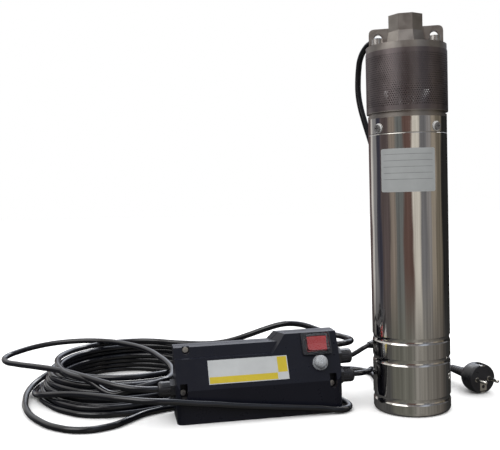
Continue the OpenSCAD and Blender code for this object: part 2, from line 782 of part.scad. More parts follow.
module motor_shaft() {
    shoulder_r = journal_r + 1.5;
    tip_r = impeller_shaft_d / 2;
    color(steel) difference() {
        union() {
            shaft_step(journal_r, lower_bearing_z - 1, lower_bearing_z + bearing_w);
            shaft_step(shoulder_r, lower_bearing_z + bearing_w, iron_z - end_ring_h);
            shaft_step(rotor_shaft_d / 2, iron_z - end_ring_h, iron_top + end_ring_h);
            shaft_step(shoulder_r, iron_top + end_ring_h, upper_bearing_z - eps);
            shaft_step(journal_r, upper_bearing_z - eps, upper_bearing_top - eps);
            shaft_step(seal_r, upper_bearing_top - eps, impeller_z - eps);
            shaft_step(tip_r, impeller_z - eps, shaft_top);
        }
        translate([tip_r - key_w / 2 - fit_gap, -key_w / 2 - fit_gap, impeller_z + 1 - fit_gap])
            cube([key_w, key_w + 2 * fit_gap, key_l + 2 * fit_gap]);
        ring(tip_r + 1, tip_r - 0.7, circlip_z - fit_gap, circlip_t + 2 * fit_gap);
    }
}

module rotor_core() {
    shaft_r = rotor_shaft_d / 2 + fit_gap;
    fin_count = 8;
    color(iron) union() {
        ring(rotor_r, shaft_r, iron_z, iron_h);
        for (up = [0, 1]) {
            ring(rotor_r - 1, rotor_r - 8, up == 1 ? iron_top - eps : iron_z - end_ring_h, end_ring_h + eps);
            for (i = [0 : fin_count - 1]) rotate([0, 0, i * 360 / fin_count])
                translate([rotor_r - 7, -1, up == 1 ? iron_top + 1 : iron_z - end_ring_h - 4])
                    cube([4, 2, end_ring_h + 3]);
        }
    }
}

module slots(gap, low, tall) {
    for (i = [0 : slot_count - 1]) rotate([0, 0, i * 360 / slot_count])
        translate([slot_r + gap, -slot_w / 2 + gap, low])
            cube([slot_depth - 2 * gap, slot_w - 2 * gap, tall]);
}

module stator_core() {
    mouth_w = 1.4;
    color(iron) difference() {
        ring(spigot_r, stator_bore_d / 2, iron_z, iron_h);
        slots(0, iron_z - 1, iron_h + 2);
        for (i = [0 : slot_count - 1]) rotate([0, 0, i * 360 / slot_count])
            translate([stator_bore_d / 2 - 1, -mouth_w / 2, iron_z - 1])
                cube([slot_r - stator_bore_d / 2 + 2, mouth_w, iron_h + 2]);
    }
}

module stator_winding() {
    inner = slot_r + 0.6;
    outer = slot_r + slot_depth - 0.6;
    bundle = rounded([[inner, 0, 0], [inner, end_turn_h, 4], [outer, end_turn_h, 4], [outer, 0, 0]]);
    color(copper) union() {
        slots(winding_gap, iron_z - 2, iron_h + 4);
        translate([0, 0, iron_top]) rotate_extrude() polygon(bundle);
        translate([0, 0, iron_z]) mirror([0, 0, 1]) rotate_extrude() polygon(bundle);
    }
}

// outline of the barrel wall round a rolled groove
module groove_place(z) {
    translate([barrel_r - groove_depth + groove_r, z]) children();
}

module groove_heights() {
    for (z = [cap_groove_z, seat_groove_low_z, seat_groove_high_z]) groove_place(z) children();
}

module motor_barrel() {
    color(steel) difference() {
        rotate_extrude() difference() {
            union() {
                translate([bore_r, bottom_edge_r]) square([barrel_wall, barrel_h - bottom_edge_r]);
                intersection() {
                    groove_heights() circle(r = groove_r + barrel_wall);
                    translate([bore_r - groove_depth, 0]) square([groove_depth + barrel_wall, barrel_h]);
                }
                intersection() {
                    translate([barrel_r - bottom_edge_r, bottom_edge_r]) difference() {
                        circle(r = bottom_edge_r);
                        circle(r = bottom_edge_r - barrel_wall);
                    }
                    translate([barrel_r - bottom_edge_r, 0]) square([bottom_edge_r, bottom_edge_r + eps]);
                }
            }
            groove_heights() circle(r = groove_r);
            translate([barrel_r + bead_r - bead_depth, bead_z]) circle(r = bead_r);
        }
        barrel_screw_places() translate([0, 0, -barrel_wall - 4])
            cylinder(d = barrel_screw_d + pass_gap, h = barrel_wall + 6);
    }
}

module barrel_screws() {
    head_r = barrel_screw_d * 0.9;
    washer_r = barrel_screw_d * 1.2;
    washer_t = 0.8;
    color(steel) barrel_screw_places() difference() {
        union() {
            translate([0, 0, -10]) cylinder(d = barrel_screw_d, h = 10 + washer_t);
            cylinder(r = washer_r, h = washer_t);
            translate([0, 0, washer_t]) cylinder(r = head_r, h = 2.2);
        }
        translate([0, 0, washer_t + 1.2]) for (turn = [0, 90]) rotate([0, 0, turn])
            cube([head_r * 1.3, 1, 4], center = true);
    }
}

module lower_bearing_seat() {
    pocket_z = lower_bearing_z - washer_h;
    hub_out = bearing_r + 6;
    rib_t = 6;
    color(cast_grey) difference() {
        union() {
            ring(spigot_r, spigot_r - 6, seat_low, seat_high - seat_low);
            translate([0, 0, pocket_z - 4]) cylinder(r = hub_out, h = washer_h + bearing_w + 5);
            for (turn = [0 : 60 : 300]) rotate([0, 0, turn])
                translate([hub_out - 2, -rib_t / 2, pocket_z - 4])
                cube([spigot_r - hub_out - 2, rib_t, washer_h + bearing_w]);
        }
        translate([0, 0, pocket_z]) cylinder(r = bearing_r + fit_gap, h = washer_h + bearing_w + 3);
        translate([0, 0, pocket_z - 5]) cylinder(r = journal_r + 2, h = 8);
        rotate_extrude() groove_heights() circle(r = groove_r + barrel_wall + roll_gap);
    }
}

module bottom_cap() {
    edge_x = barrel_r - bottom_edge_r;
    roll_r = bottom_edge_r - barrel_wall - roll_gap;
    color(steel) difference() {
        rotate_extrude() difference() {
            union() {
                square([edge_x - fit_gap, cap_h]);
                translate([0, bottom_edge_r]) square([spigot_r, cap_h - bottom_edge_r]);
                translate([0, barrel_wall + roll_gap]) square([edge_x + eps, cap_h - barrel_wall - roll_gap]);
                translate([edge_x, bottom_edge_r]) circle(r = roll_r);
            }
            translate([-1, 8]) square([spigot_r - 7, cap_h]);
            groove_heights() circle(r = groove_r + barrel_wall + roll_gap);
        }
        spigot_groove(cap_oring_z);
    }
}

// Cable entry in the head

// sweep round the elbow that turns the cable to the back
module at_elbow() {
    translate([lead_x, lead_y, elbow_z]) rotate([0, 0, elbow_turn]) translate([elbow_r, 0, 0])
        mirror([1, 0, 0]) rotate([90, 0, 0])
            rotate_extrude(angle = elbow_sweep) translate([elbow_r, 0]) children();
}

module cable_grommet() {
    color(rubber) union() {
        translate([lead_x, lead_y, 0]) difference() {
            union() {
                translate([0, 0, plate_z]) cylinder(r = grommet_r - fit_gap, h = plate_t);
                translate([0, 0, plate_top]) cylinder(r = grommet_flange_r, h = 3);
                translate([0, 0, plate_top]) cylinder(r = grommet_r, h = elbow_z - plate_top + eps);
            }
            translate([0, 0, plate_z - 1]) cylinder(d = cable_d + 4 * fit_gap, h = elbow_z - plate_z + 2);
        }
        at_elbow() difference() {
            circle(r = cable_d / 2 + elbow_wall);
            circle(d = cable_d + 2 * fit_gap);
        }
    }
}

module motor_lead() {
    low = barrel_h - 30;
    color(rubber) union() {
        translate([lead_x, lead_y, low]) cylinder(d = cable_d, h = elbow_z + 0.5 - low);
        at_elbow() circle(d = cable_d - 2 * fit_gap);
    }
}

// Control box

module at_box() {
    translate([box_x, box_y, 0]) rotate([0, 0, box_yaw]) children();
}

// a section across the box, drawn as [v, z], swept along u
module along_u(from, to, pts) {
    translate([from, 0, 0]) rotate([90, 0, 90]) linear_extrude(to - from) polygon(pts);
}

function lean(z) = (z - front_h) * slope_run / (box_h - front_h);

// space above the low end: over the ridge, its shelf and the set-back band
module low_space(by) {
    band_v = lean(ridge_h) + shelf_d;
    top_v = band_v + lean(low_h) - lean(ridge_h);
    past = 20;
    pts = [[-past, ridge_h], [-past, box_h + past], [box_d + past, box_h + past], [box_d + past, low_h],
        [top_v, low_h], [band_v, ridge_h + 1]];
    intersection() {
        along_u(-1, box_l, inset(pts, -by));
        translate([step_u, band_v, (ridge_h + low_h) / 2]) rotate([0, -step_lean, step_turn])
            translate([-by, -box_l / 2, -box_l / 2]) cube(box_l);
    }
}

// the box as a solid, with every wall moved inwards by a distance, between two depths
module box_form(by, from, to) {
    section = [[0, 0], [0, front_h], [slope_run, box_h], [box_d + 20, box_h], [box_d + 20, 0]];
    plan = [[by, box_d + 20, 0], [box_l - by, box_d + 20, 0], [box_l - by, by, corner_r], [by, by, corner_r]];
    difference() {
        intersection() {
            along_u(0, box_l, inset(section, by));
            linear_extrude(box_h + 1) polygon(rounded(plan));
            translate([-1, from, -1]) cube([box_l + 2, to - from, box_h + 2]);
        }
        low_space(by);
    }
}

// recess for one cover screw, open to the front and above, with a margin round it
module notch(p, by, from) {
    translate([p[0], p[2] + by, p[1]]) rotate([90, 0, 0])
        cylinder(d = notch_w + 2 * by, h = p[2] + by - from);
    translate([p[0] - notch_w / 2 - by, from, p[1]]) cube([notch_w + 2 * by, p[2] + by - from, notch_h]);
}

module screw_bore(p, d, from, to) {
    translate([p[0], to, p[1]]) rotate([90, 0, 0]) cylinder(d = d, h = to - from);
}

module slope_holes() {
    at_slope_switch() translate([0, 0, -5]) linear_extrude(8)
        square([switch_in_w + pass_gap, switch_in_h + pass_gap], center = true);
    at_slope_reset() translate([0, 0, -5]) cylinder(r = neck_r + pass_gap / 2, h = 8);
}

module at_slope_switch() {
    translate([switch_u, 0, front_h]) rotate([slope_deg, 0, 0]) translate([0, switch_s, 0]) children();
}

module at_slope_reset() {
    translate([reset_u, 0, front_h]) rotate([slope_deg, 0, 0]) translate([0, reset_s, 0]) children();
}

module gland_place(g) {
    translate([g[0] * box_l, g[1], g[2]]) rotate([0, g[0] == 1 ? 90 : -90, 0]) children();
}

module box_cover() {
    boss_d = cover_screw_d + 6;
    color(shell_blue) at_box() difference() {
        union() {
            difference() {
                box_form(0, 0, cover_d);
                box_form(box_wall, -1, cover_d + 1);
            }
            intersection() {
                union() for (p = screw_pts) {
                    notch(p, boss_wall, -1);
                    screw_bore(p, boss_d, p[2], cover_d);
                }
                box_form(0, 0, cover_d);
            }
        }
        for (p = screw_pts) {
            notch(p, 0, -2);
            screw_bore(p, cover_screw_d + pass_gap, p[2] - 1, cover_d + 1);
        }
        slope_holes();
        for (g = glands) gland_place(g) translate([0, 0, -box_wall - gland_in - pass_gap])
            cylinder(r = gland_thread_r + fit_gap, h = box_wall + gland_in + pass_gap + 1);
    }
}

module box_back() {
    rim_v = cover_d + gasket_t;
    thick = box_wall + rim_gap + lip_wall;
    boss_d = cover_screw_d + 8;
    clear_w = notch_w + 2 * boss_wall + 2;
    color(shell_blue) at_box() difference() {
        union() {
            box_form(0, rim_v, box_d);
            difference() {
                box_form(box_wall + rim_gap, rim_v - lip_h_box, rim_v + eps);
                for (p = screw_pts) translate([p[0] - clear_w / 2, rim_v - 10, p[1] - clear_w / 2])
                    cube([clear_w, 10, clear_w + notch_h]);
                for (g = glands) gland_place(g) translate([-gland_thread_r - 5, -gland_thread_r - 5, -20])
                    cube([2 * gland_thread_r + 10, 2 * gland_thread_r + 10, 21]);
            }
        }
        difference() {
            box_form(thick, rim_v - 10, box_d - back_wall);
            for (p = screw_pts) screw_bore(p, boss_d, rim_v, box_d);
        }
        for (p = screw_pts) screw_bore(p, cover_screw_d + 2 * fit_gap, rim_v - 1, box_d - 2);
    }
}

module box_gasket() {
    color(rubber) at_box() difference() {
        box_form(0.3, cover_d, cover_d + gasket_t);
        box_form(box_wall, cover_d - 1, cover_d + gasket_t + 1);
        for (p = screw_pts) screw_bore(p, cover_screw_d + 8, cover_d - 1, cover_d + gasket_t + 1);
    }
}

module cover_screws() {
    head_t = 2.6;
    color(steel) at_box() for (p = screw_pts) difference() {
        union() {
            screw_bore(p, cover_screw_d, p[2] - eps, box_d - 3);
            screw_bore(p, cover_screw_d * 1.8, p[2] - head_t, p[2]);
        }
        translate([p[0], p[2] - head_t, p[1]]) for (turn = [0, 90]) rotate([0, turn, 0])
            cube([cover_screw_d * 1.2, 2.4, 1], center = true);
    }
}

// Switch and reset button on the slope

// a rectangle round the middle with its corners rounded
module pad(wide, tall, r) {
    x = wide / 2;
    y = tall / 2;
    polygon(rounded([[-x, -y, r], [-x, y, r], [x, y, r], [x, -y, r]]));
}

module switch_body() {
    depth = 20;
    color(rubber) at_box() at_slope_switch() difference() {
        union() {
            linear_extrude(bezel_t) pad(bezel_w, bezel_h, 3);
            translate([0, 0, -depth]) linear_extrude(depth + eps)
                square([switch_in_w, switch_in_h], center = true);
        }
        translate([0, 0, pivot_z - rocker_deep - 2]) linear_extrude(depth)
            square([rocker_w + 2 * pass_gap, rocker_h + 2], center = true);
        translate([0, 0, pivot_z]) rotate([0, 90, 0])
            cylinder(r = pivot_r + run_gap, h = rocker_w + 4, center = true);
    }
}

module switch_rocker() {
    half = rocker_h / 2;
    pts = [[-half, 1.2], [-half, 5.4], [0, 4], [half, 5.4], [half, 1.2], [4, -rocker_deep],
        [-4, -rocker_deep]];
    color("red") at_box() at_slope_switch() translate([0, 0, pivot_z]) rotate([rocker_tilt, 0, 0]) union() {
        translate([-rocker_w / 2, 0, 0]) rotate([90, 0, 90]) linear_extrude(rocker_w) polygon(pts);
        rotate([0, 90, 0]) cylinder(r = pivot_r, h = rocker_w + 3, center = true);
    }
}

module boot_shape(by, low, high) {
    translate([0, 0, low]) linear_extrude(high - low) pad(boot_w - 2 * by, boot_h - 2 * by, 4);
}

module switch_boot() {
    color(clear, 0.5) at_box() at_slope_switch() difference() {
        union() {
            boot_shape(0, bezel_t, bezel_t + boot_rise);
            boot_shape(1.2, bezel_t + boot_rise - eps, bezel_t + boot_rise + 1);
        }
        boot_shape(boot_t, bezel_t - 1, bezel_t + boot_rise - 0.2);
    }
}

module breaker_body() {
    color(rubber) at_box() at_slope_reset() difference() {
        union() {
            translate([0, 0, -28]) cylinder(r = neck_r + 3.5, h = 28 - box_wall);
            translate([0, 0, -box_wall - eps]) cylinder(r = neck_r, h = box_wall + neck_out);
        }
        translate([0, 0, -18]) cylinder(r = plunger_r + run_gap, h = 30);
    }
}

module reset_button() {
    color("white") at_box() at_slope_reset() union() {
        translate([0, 0, -12]) cylinder(r = plunger_r, h = 12 + neck_out + reset_travel + 0.5);
        translate([0, 0, neck_out + reset_travel + 0.3]) cylinder(r = plunger_r + 0.8, h = 1);
    }
}

module reset_boot() {
    r = reset_boot_d / 2;
    dome_in = reset_dome_h - boot_t;
    outside = rounded([[0, 0, 0], [0, reset_dome_h, 0], [r - 1, reset_dome_h, 7], [r - 1, boot_flange, 0],
        [r, boot_flange, 0], [r, 0, 0]], 8);
    inside = rounded([[0, -1, 0], [0, dome_in, 0], [r - 1 - boot_t, dome_in, 6], [r - 1 - boot_t, -1, 0]], 8);
    color(clear, 0.5) at_box() at_slope_reset() rotate_extrude() difference() {
        polygon(outside);
        polygon(inside);
    }
}

// Inside the box

module capacitor() {
    color("whitesmoke") at_box() translate([capacitor_u - capacitor_l / 2, capacitor_v, capacitor_z])
        rotate([0, 90, 0]) union() {
            cylinder(d = capacitor_d, h = capacitor_l);
            for (side = [-1, 1]) translate([side * 6 - 0.4, -3, capacitor_l - eps]) cube([0.8, 6, 8]);
        }
}

module capacitor_clip() {
    wide = 14;
    r = capacitor_d / 2;
    foot_v = box_d - back_wall;
    color(steel) at_box() translate([capacitor_u - wide / 2, capacitor_v, capacitor_z]) difference() {
        union() {
            rotate([0, 90, 0]) cylinder(r = r + 1.5, h = wide);
            translate([0, 0, -r - 1.5]) cube([wide, foot_v - capacitor_v, 2 * r + 3]);
        }
        translate([-1, 0, 0]) rotate([0, 90, 0]) cylinder(r = r + fit_gap, h = wide + 2);
        translate([-1, 0, -r + 1]) cube([wide + 2, foot_v - capacitor_v - 1.5, 2 * r - 2]);
    }
}

module terminal_block() {
    ways = 5;
    way_w = 9;
    deep = 16;
    tall = 20;
    color("ivory") at_box() translate([terminal_u, box_d - back_wall - deep, terminal_z]) difference() {
        cube([ways * way_w, deep, tall]);
        for (i = [0 : ways - 1]) translate([(i + 0.5) * way_w, 0, 0]) {
            for (z = [5, tall - 5]) translate([0, 6, z]) rotate([90, 0, 0]) cylinder(d = 4.5, h = 8);
            translate([0, deep / 2 + 2, -1]) cylinder(d = 4, h = 6);
            translate([0, deep / 2 + 2, tall - 5]) cylinder(d = 4, h = 6);
        }
    }
}

module gland_bodies() {
    color(rubber) at_box() for (g = glands) gland_place(g) difference() {
        union() {
            translate([0, 0, -box_wall - gland_in])
                cylinder(r = gland_thread_r, h = box_wall + gland_in + eps);
            cylinder(d = gland_hex / cos(30), h = gland_hex_h, $fn = 6);
            translate([0, 0, gland_hex_h - eps]) cylinder(r = gland_thread_r - 1, h = 8);
        }
        translate([0, 0, -box_wall - 8]) cylinder(d = g[3] + pass_gap, h = box_wall + gland_hex_h + 18);
    }
}

module gland_nuts() {
    grips = 10;
    color(rubber) at_box() for (g = glands) gland_place(g) translate([0, 0, gland_hex_h]) difference() {
        rotate_extrude()
            polygon(rounded([[0, 0, 0], [gland_nut_r, 0, 0], [gland_nut_r, gland_nut_h, 4.5],
                [0, gland_nut_h, 0]]));
        translate([0, 0, -1]) cylinder(r = gland_thread_r - 1 + fit_gap, h = 10);
        cylinder(d = g[3] + 2 * fit_gap, h = gland_nut_h + 1);
        for (i = [0 : grips - 1]) rotate([0, 0, i * 360 / grips])
            translate([gland_nut_r + 0.6, 0, -1]) cylinder(r = 1.2, h = 10);
    }
}

// Cables and plug

module pump_cable_run() { color(rubber) tube(run_pts, cable_d); }

module pump_cable_coil() {
    color(rubber) translate([coil_x, coil_y, 0]) rotate_extrude()
        polygon(rounded([[coil_hole_r, 0, 3], [coil_r, 0, 3],
            [coil_r, coil_h, 12], [coil_hole_r, coil_h, 12]]));
}

module pump_cable_loops() {
    color(rubber) {
        tube(loop_a_pts, cable_d);
        tube(loop_b_pts, cable_d);
        tube(front_pts, cable_d);
    }
}

module mains_lead() {
    color(rubber) {
        tube(mains_in_pts, mains_d);
        tube(mains_out_pts, mains_d);
    }
}

module mains_coil() {
    color(rubber) translate([0, mains_coil_y, 0]) rotate_extrude()
        polygon(rounded([[mains_coil_hole_r, 0, 2], [mains_coil_r, 0, 2],
            [mains_coil_r, mains_coil_h, 5], [mains_coil_hole_r, mains_coil_h, 5]]));
}

module level_lead() { color(rubber) tube(level_pts, level_d); }

module level_socket() {
    r = socket_d / 2;
    nut_l = 12;
    pts = rounded([[0, 0, 0], [level_d / 2 + 1, 0, 0], [r - 0.8, 8, 3], [r - 0.8, socket_l - nut_l, 0],
        [r, socket_l - nut_l, 0], [r, socket_l, 1.5], [0, socket_l, 0]]);
    color(rubber) translate(level_pts[len(level_pts) - 1]) rotate([0, 90, socket_turn])
        rotate_extrude() polygon(pts);
}

module at_plug() {
    translate([plug_x, plug_y, plug_d / 2]) rotate([0, 0, plug_turn]) children();
}

module plug_body() {
    r = plug_d / 2;
    rib_count = 5;
    rib_step = relief_l / (rib_count + 1);
    shell = rounded([[0, 0, 0], [r - 1, 0, 1], [r, 4, 2], [r, 20, 6], [9, plug_l, 4], [0, plug_l, 0]]);
    color(rubber) at_plug() difference() {
        rotate([0, -90, 0]) rotate_extrude() difference() {
            union() {
                polygon(shell);
                translate([0, plug_l - 1])
                    polygon([[0, 0], [7, 0], [mains_d / 2 + 1.5, relief_l + 1], [0, relief_l + 1]]);
            }
            for (i = [1 : rib_count]) translate([7.6 - i * 0.4, plug_l + i * rib_step]) circle(r = 1.1);
        }
        for (side = [-1, 1]) translate([-pin_root_l, side * pin_gap / 2, 0]) rotate([0, 90, 0])
            cylinder(d = pin_root_d + 2 * fit_gap, h = pin_root_l + 1);
        for (side = [-1, 1]) translate([-12, -4.2, side > 0 ? r - 3.2 : -r]) cube([14, 8.4, 3.2]);
    }
}

module plug_contacts() {
    r = plug_d / 2;
    clip_t = 1.2;
    tip_l = 1.5;
    color(brass) at_plug() {
        for (side = [-1, 1]) translate([0, side * pin_gap / 2, 0]) rotate([0, 90, 0]) union() {
            translate([0, 0, fit_gap - pin_root_l]) cylinder(d = pin_root_d, h = pin_root_l - fit_gap);
            translate([0, 0, -1]) cylinder(d = pin_d, h = pin_l - tip_l + 1);
            translate([0, 0, pin_l - tip_l]) cylinder(d1 = pin_d, d2 = pin_d - 2, h = tip_l);
        }
        for (side = [-1, 1]) translate([-12 + fit_gap, -4, side > 0 ? r - 3.2 : -r + 3.2 - clip_t])
            cube([11.5, 8, clip_t]);
    }
}

outlet_head();
head_screws();
inlet_strainer();
pump_casing();
suction_cover();
shaft_bush();
impeller();
impeller_key();
impeller_circlip();
sand_slinger();
motor_support();
o_rings();
seal_seat();
seal_head();
seal_spring();
seal_collar();
lip_seal();
upper_bearing_outer();
upper_bearing_inner();
upper_bearing_balls();
lower_bearing_outer();
lower_bearing_inner();
lower_bearing_balls();
wave_washer();
motor_shaft();
rotor_core();
stator_core();
stator_winding();
motor_barrel();
barrel_screws();
lower_bearing_seat();
bottom_cap();
cable_grommet();
motor_lead();
box_cover();
box_back();
box_gasket();
cover_screws();
switch_body();
switch_rocker();
switch_boot();
breaker_body();
reset_button();
reset_boot();
capacitor();
capacitor_clip();
terminal_block();
gland_bodies();
gland_nuts();
pump_cable_run();
pump_cable_coil();
pump_cable_loops();
mains_lead();
mains_coil();
plug_body();
plug_contacts();
level_lead();
level_socket();
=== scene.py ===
import json
import math

import bpy
from mathutils import Matrix, Vector

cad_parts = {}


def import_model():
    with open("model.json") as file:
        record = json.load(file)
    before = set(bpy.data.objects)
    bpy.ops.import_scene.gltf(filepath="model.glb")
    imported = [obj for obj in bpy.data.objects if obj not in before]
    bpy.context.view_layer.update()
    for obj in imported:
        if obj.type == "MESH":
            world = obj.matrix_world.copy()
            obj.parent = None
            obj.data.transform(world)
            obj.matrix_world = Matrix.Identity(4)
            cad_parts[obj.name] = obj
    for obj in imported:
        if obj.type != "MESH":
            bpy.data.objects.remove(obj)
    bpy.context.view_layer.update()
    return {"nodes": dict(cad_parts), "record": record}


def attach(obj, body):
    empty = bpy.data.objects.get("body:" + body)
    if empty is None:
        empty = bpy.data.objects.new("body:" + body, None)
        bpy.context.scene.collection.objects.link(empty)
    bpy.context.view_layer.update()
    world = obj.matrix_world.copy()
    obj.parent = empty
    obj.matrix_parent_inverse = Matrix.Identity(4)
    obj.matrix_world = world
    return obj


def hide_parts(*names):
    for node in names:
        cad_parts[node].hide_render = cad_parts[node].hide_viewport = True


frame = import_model()
nodes = frame["nodes"]

MM = 0.001


def metres(points):
    return [Vector(p) * MM for p in points]


# Camera, in metres

YAW = math.radians(12.155)
PITCH = math.radians(2.922)
ROLL = math.radians(1.653)
FOCAL_PX = 738.9
IMAGE_W = 500
CAMERA_PLACE = Vector((0.0, -0.9474, 0.2843))


def make_camera():
    forward = Vector((-math.sin(YAW) * math.cos(PITCH),
                      math.cos(YAW) * math.cos(PITCH),
                      -math.sin(PITCH)))
    right = Vector((math.cos(YAW), math.sin(YAW), 0.0))
    up = right.cross(forward)
    right_rolled = math.cos(ROLL) * right - math.sin(ROLL) * up
    up_rolled = math.sin(ROLL) * right + math.cos(ROLL) * up
    data = bpy.data.cameras.new("camera")
    data.sensor_fit = "HORIZONTAL"
    data.angle = 2 * math.atan(IMAGE_W / 2 / FOCAL_PX)
    data.clip_start = 0.01
    data.clip_end = 50
    camera = bpy.data.objects.new("camera", data)
    turn = Matrix((right_rolled, up_rolled, -forward)).transposed().to_4x4()
    camera.matrix_world = Matrix.Translation(CAMERA_PLACE) @ turn
    bpy.context.collection.objects.link(camera)
    bpy.context.scene.camera = camera


make_camera()


# Materials


def set_stops(ramp, stops):
    """Gives a colour ramp its stops, each a place and a colour."""
    band = ramp.color_ramp
    while len(band.elements) < len(stops):
        band.elements.new(0.5)
    for element, (place, colour) in zip(band.elements, stops):
        element.position = place
        element.color = (*colour, 1)


def map_range(tree, value, from_low, from_high, low, high):
    """Maps a value from one range to another and holds it at both ends."""
    made = tree.nodes.new("ShaderNodeMapRange")
    made.inputs["From Min"].default_value = from_low
    made.inputs["From Max"].default_value = from_high
    made.inputs["To Min"].default_value = low
    made.inputs["To Max"].default_value = high
    tree.links.new(value, made.inputs["Value"])
    return made.outputs["Result"]


def shaded(colour, share):
    return tuple(c * share for c in colour)


class Paint:
    """A material built from a Principled shader, with small helpers for its procedural detail."""

    def __init__(self, name, colour, rough, metal=0.0, **sockets):
        self.mat = bpy.data.materials.new(name)
        self.mat.use_nodes = True
        self.tree = self.mat.node_tree
        self.shader = self.tree.nodes["Principled BSDF"]
        self.shader.inputs["Base Color"].default_value = (*colour, 1)
        self.shader.inputs["Roughness"].default_value = rough
        self.shader.inputs["Metallic"].default_value = metal
        for key, value in sockets.items():
            self.shader.inputs[key.replace("_", " ")].default_value = value
        self.coords = self.node("ShaderNodeTexCoord").outputs["Object"]

    def node(self, kind):
        return self.tree.nodes.new(kind)

    def link(self, a, b):
        self.tree.links.new(a, b)

    def stretched(self, scale):
        mapping = self.node("ShaderNodeMapping")
        mapping.inputs["Scale"].default_value = scale
        self.link(self.coords, mapping.inputs["Vector"])
        return mapping.outputs["Vector"]

    def noise(self, scale, detail, stretch=(1, 1, 1)):
        made = self.node("ShaderNodeTexNoise")
        made.inputs["Scale"].default_value = scale
        made.inputs["Detail"].default_value = detail
        made.inputs["Roughness"].default_value = 0.55
        self.link(self.stretched(stretch), made.inputs["Vector"])
        return made.outputs["Fac"]

    def wave(self, direction, scale, distortion=0.0):
        made = self.node("ShaderNodeTexWave")
        made.bands_direction = direction
        made.inputs["Scale"].default_value = scale
        made.inputs["Distortion"].default_value = distortion
        self.link(self.coords, made.inputs["Vector"])
        return made.outputs["Fac"]

    def remap(self, value, low, high, from_low=0.3, from_high=0.7):
        return map_range(self.tree, value, from_low, from_high, low, high)

    def colours(self, value, first, second, start=0.3, end=0.7):
        """Goes from the first colour to the second as the value goes from start to end."""
        ramp = self.node("ShaderNodeValToRGB")
        set_stops(ramp, [(start, first), (end, second)])
        self.link(value, ramp.inputs["Fac"])
        self.link(ramp.outputs["Color"], self.shader.inputs["Base Color"])

    def roughness(self, value, low, high):
        self.link(self.remap(value, low, high), self.shader.inputs["Roughness"])

    def bump(self, value, distance, strength):
        made = self.node("ShaderNodeBump")
        made.inputs["Strength"].default_value = strength
        made.inputs["Distance"].default_value = distance
        self.link(value, made.inputs["Height"])
        self.link(made.outputs["Normal"], self.shader.inputs["Normal"])


def polished_steel():
    paint = Paint("polished_steel", (0.72, 0.70, 0.67), rough=0.08, metal=1.0)
    streak = paint.noise(scale=9, detail=5, stretch=(22, 22, 0.6))
    paint.colours(streak, (0.66, 0.64, 0.61), (0.77, 0.745, 0.715))
    wear = paint.noise(scale=60, detail=6, stretch=(3, 3, 0.4))
    paint.roughness(wear, low=0.05, high=0.12)
    paint.bump(paint.noise(scale=14, detail=2, stretch=(1, 1, 0.35)), distance=0.0004, strength=0.1)
    return paint.mat


def cast_metal():
    paint = Paint("cast_metal", (0.36, 0.33, 0.31), rough=0.36, metal=1.0)
    blotch = paint.noise(scale=45, detail=6)
    paint.colours(blotch, (0.30, 0.275, 0.255), (0.43, 0.40, 0.375))
    paint.roughness(paint.noise(scale=130, detail=5), low=0.28, high=0.46)
    paint.bump(paint.noise(scale=900, detail=3), distance=0.00012, strength=0.5)
    return paint.mat


def turned_casting(low, high):
    """Cast metal with a bright turned rim, which ends between two heights in metres."""
    paint = Paint("turned_casting", (0.36, 0.33, 0.31), rough=0.36, metal=1.0)
    split = paint.node("ShaderNodeSeparateXYZ")
    paint.link(paint.coords, split.inputs[0])
    share = paint.remap(split.outputs["Z"], 0, 1, from_low=low, from_high=high)
    paint.colours(share, (0.72, 0.70, 0.67), (0.365, 0.338, 0.315), start=0, end=1)
    rough = paint.remap(share, 0.08, 0.37, from_low=0, from_high=1)
    paint.link(rough, paint.shader.inputs["Roughness"])
    return paint.mat


def dark_sheet():
    paint = Paint("dark_sheet", (0.22, 0.19, 0.195), rough=0.36, metal=1.0)
    blotch = paint.noise(scale=30, detail=5, stretch=(3, 3, 0.8))
    paint.colours(blotch, (0.185, 0.158, 0.163), (0.25, 0.218, 0.222))
    paint.roughness(paint.noise(scale=80, detail=4), low=0.28, high=0.42)
    return paint.mat


def plain_steel(name, colour, low, high):
    paint = Paint(name, colour, rough=low, metal=1.0)
    grain = paint.noise(scale=220, detail=4)
    darker = shaded(colour, 0.86)
    paint.colours(grain, darker, colour)
    paint.roughness(paint.noise(scale=90, detail=4), low, high)
    return paint.mat


def zinc_and_painted_light_screw(low, high):
    """Light washers and darker heads, told apart by metres from the barrel's axis: the light washers are
    painted highlight, and the darker heads are painted shade where the sockets are.
    """
    paint = Paint("zinc_and_painted_light_screw", (0.85, 0.85, 0.84), rough=0.4, metal=0.35)
    flat = paint.node("ShaderNodeVectorMath")
    flat.operation = "MULTIPLY"
    flat.inputs[1].default_value = (1, 1, 0)
    paint.link(paint.coords, flat.inputs[0])
    reach = paint.node("ShaderNodeVectorMath")
    reach.operation = "LENGTH"
    paint.link(flat.outputs["Vector"], reach.inputs[0])
    share = paint.remap(reach.outputs["Value"], 0, 1, from_low=low, from_high=high)
    # painted highlight on the washers, painted shade on the heads
    paint.colours(share, (0.85, 0.85, 0.84), (0.20, 0.195, 0.195), start=0, end=1)
    paint.roughness(paint.noise(scale=140, detail=4), low=0.3, high=0.45)
    return paint.mat


def machined_iron():
    paint = Paint("machined_iron", (0.30, 0.29, 0.28), rough=0.5, metal=0.9)
    paint.colours(paint.noise(scale=120, detail=6), (0.22, 0.21, 0.205), (0.36, 0.35, 0.335))
    paint.roughness(paint.noise(scale=200, detail=4), low=0.4, high=0.62)
    paint.bump(paint.noise(scale=700, detail=4), distance=0.0002, strength=0.5)
    return paint.mat


def sheet_stack():
    paint = Paint("sheet_stack", (0.30, 0.31, 0.33), rough=0.45, metal=0.9)
    paint.colours(paint.noise(scale=60, detail=5), (0.24, 0.25, 0.27), (0.36, 0.37, 0.39))
    paint.bump(paint.wave("Z", scale=600), distance=0.0002, strength=0.5)
    return paint.mat


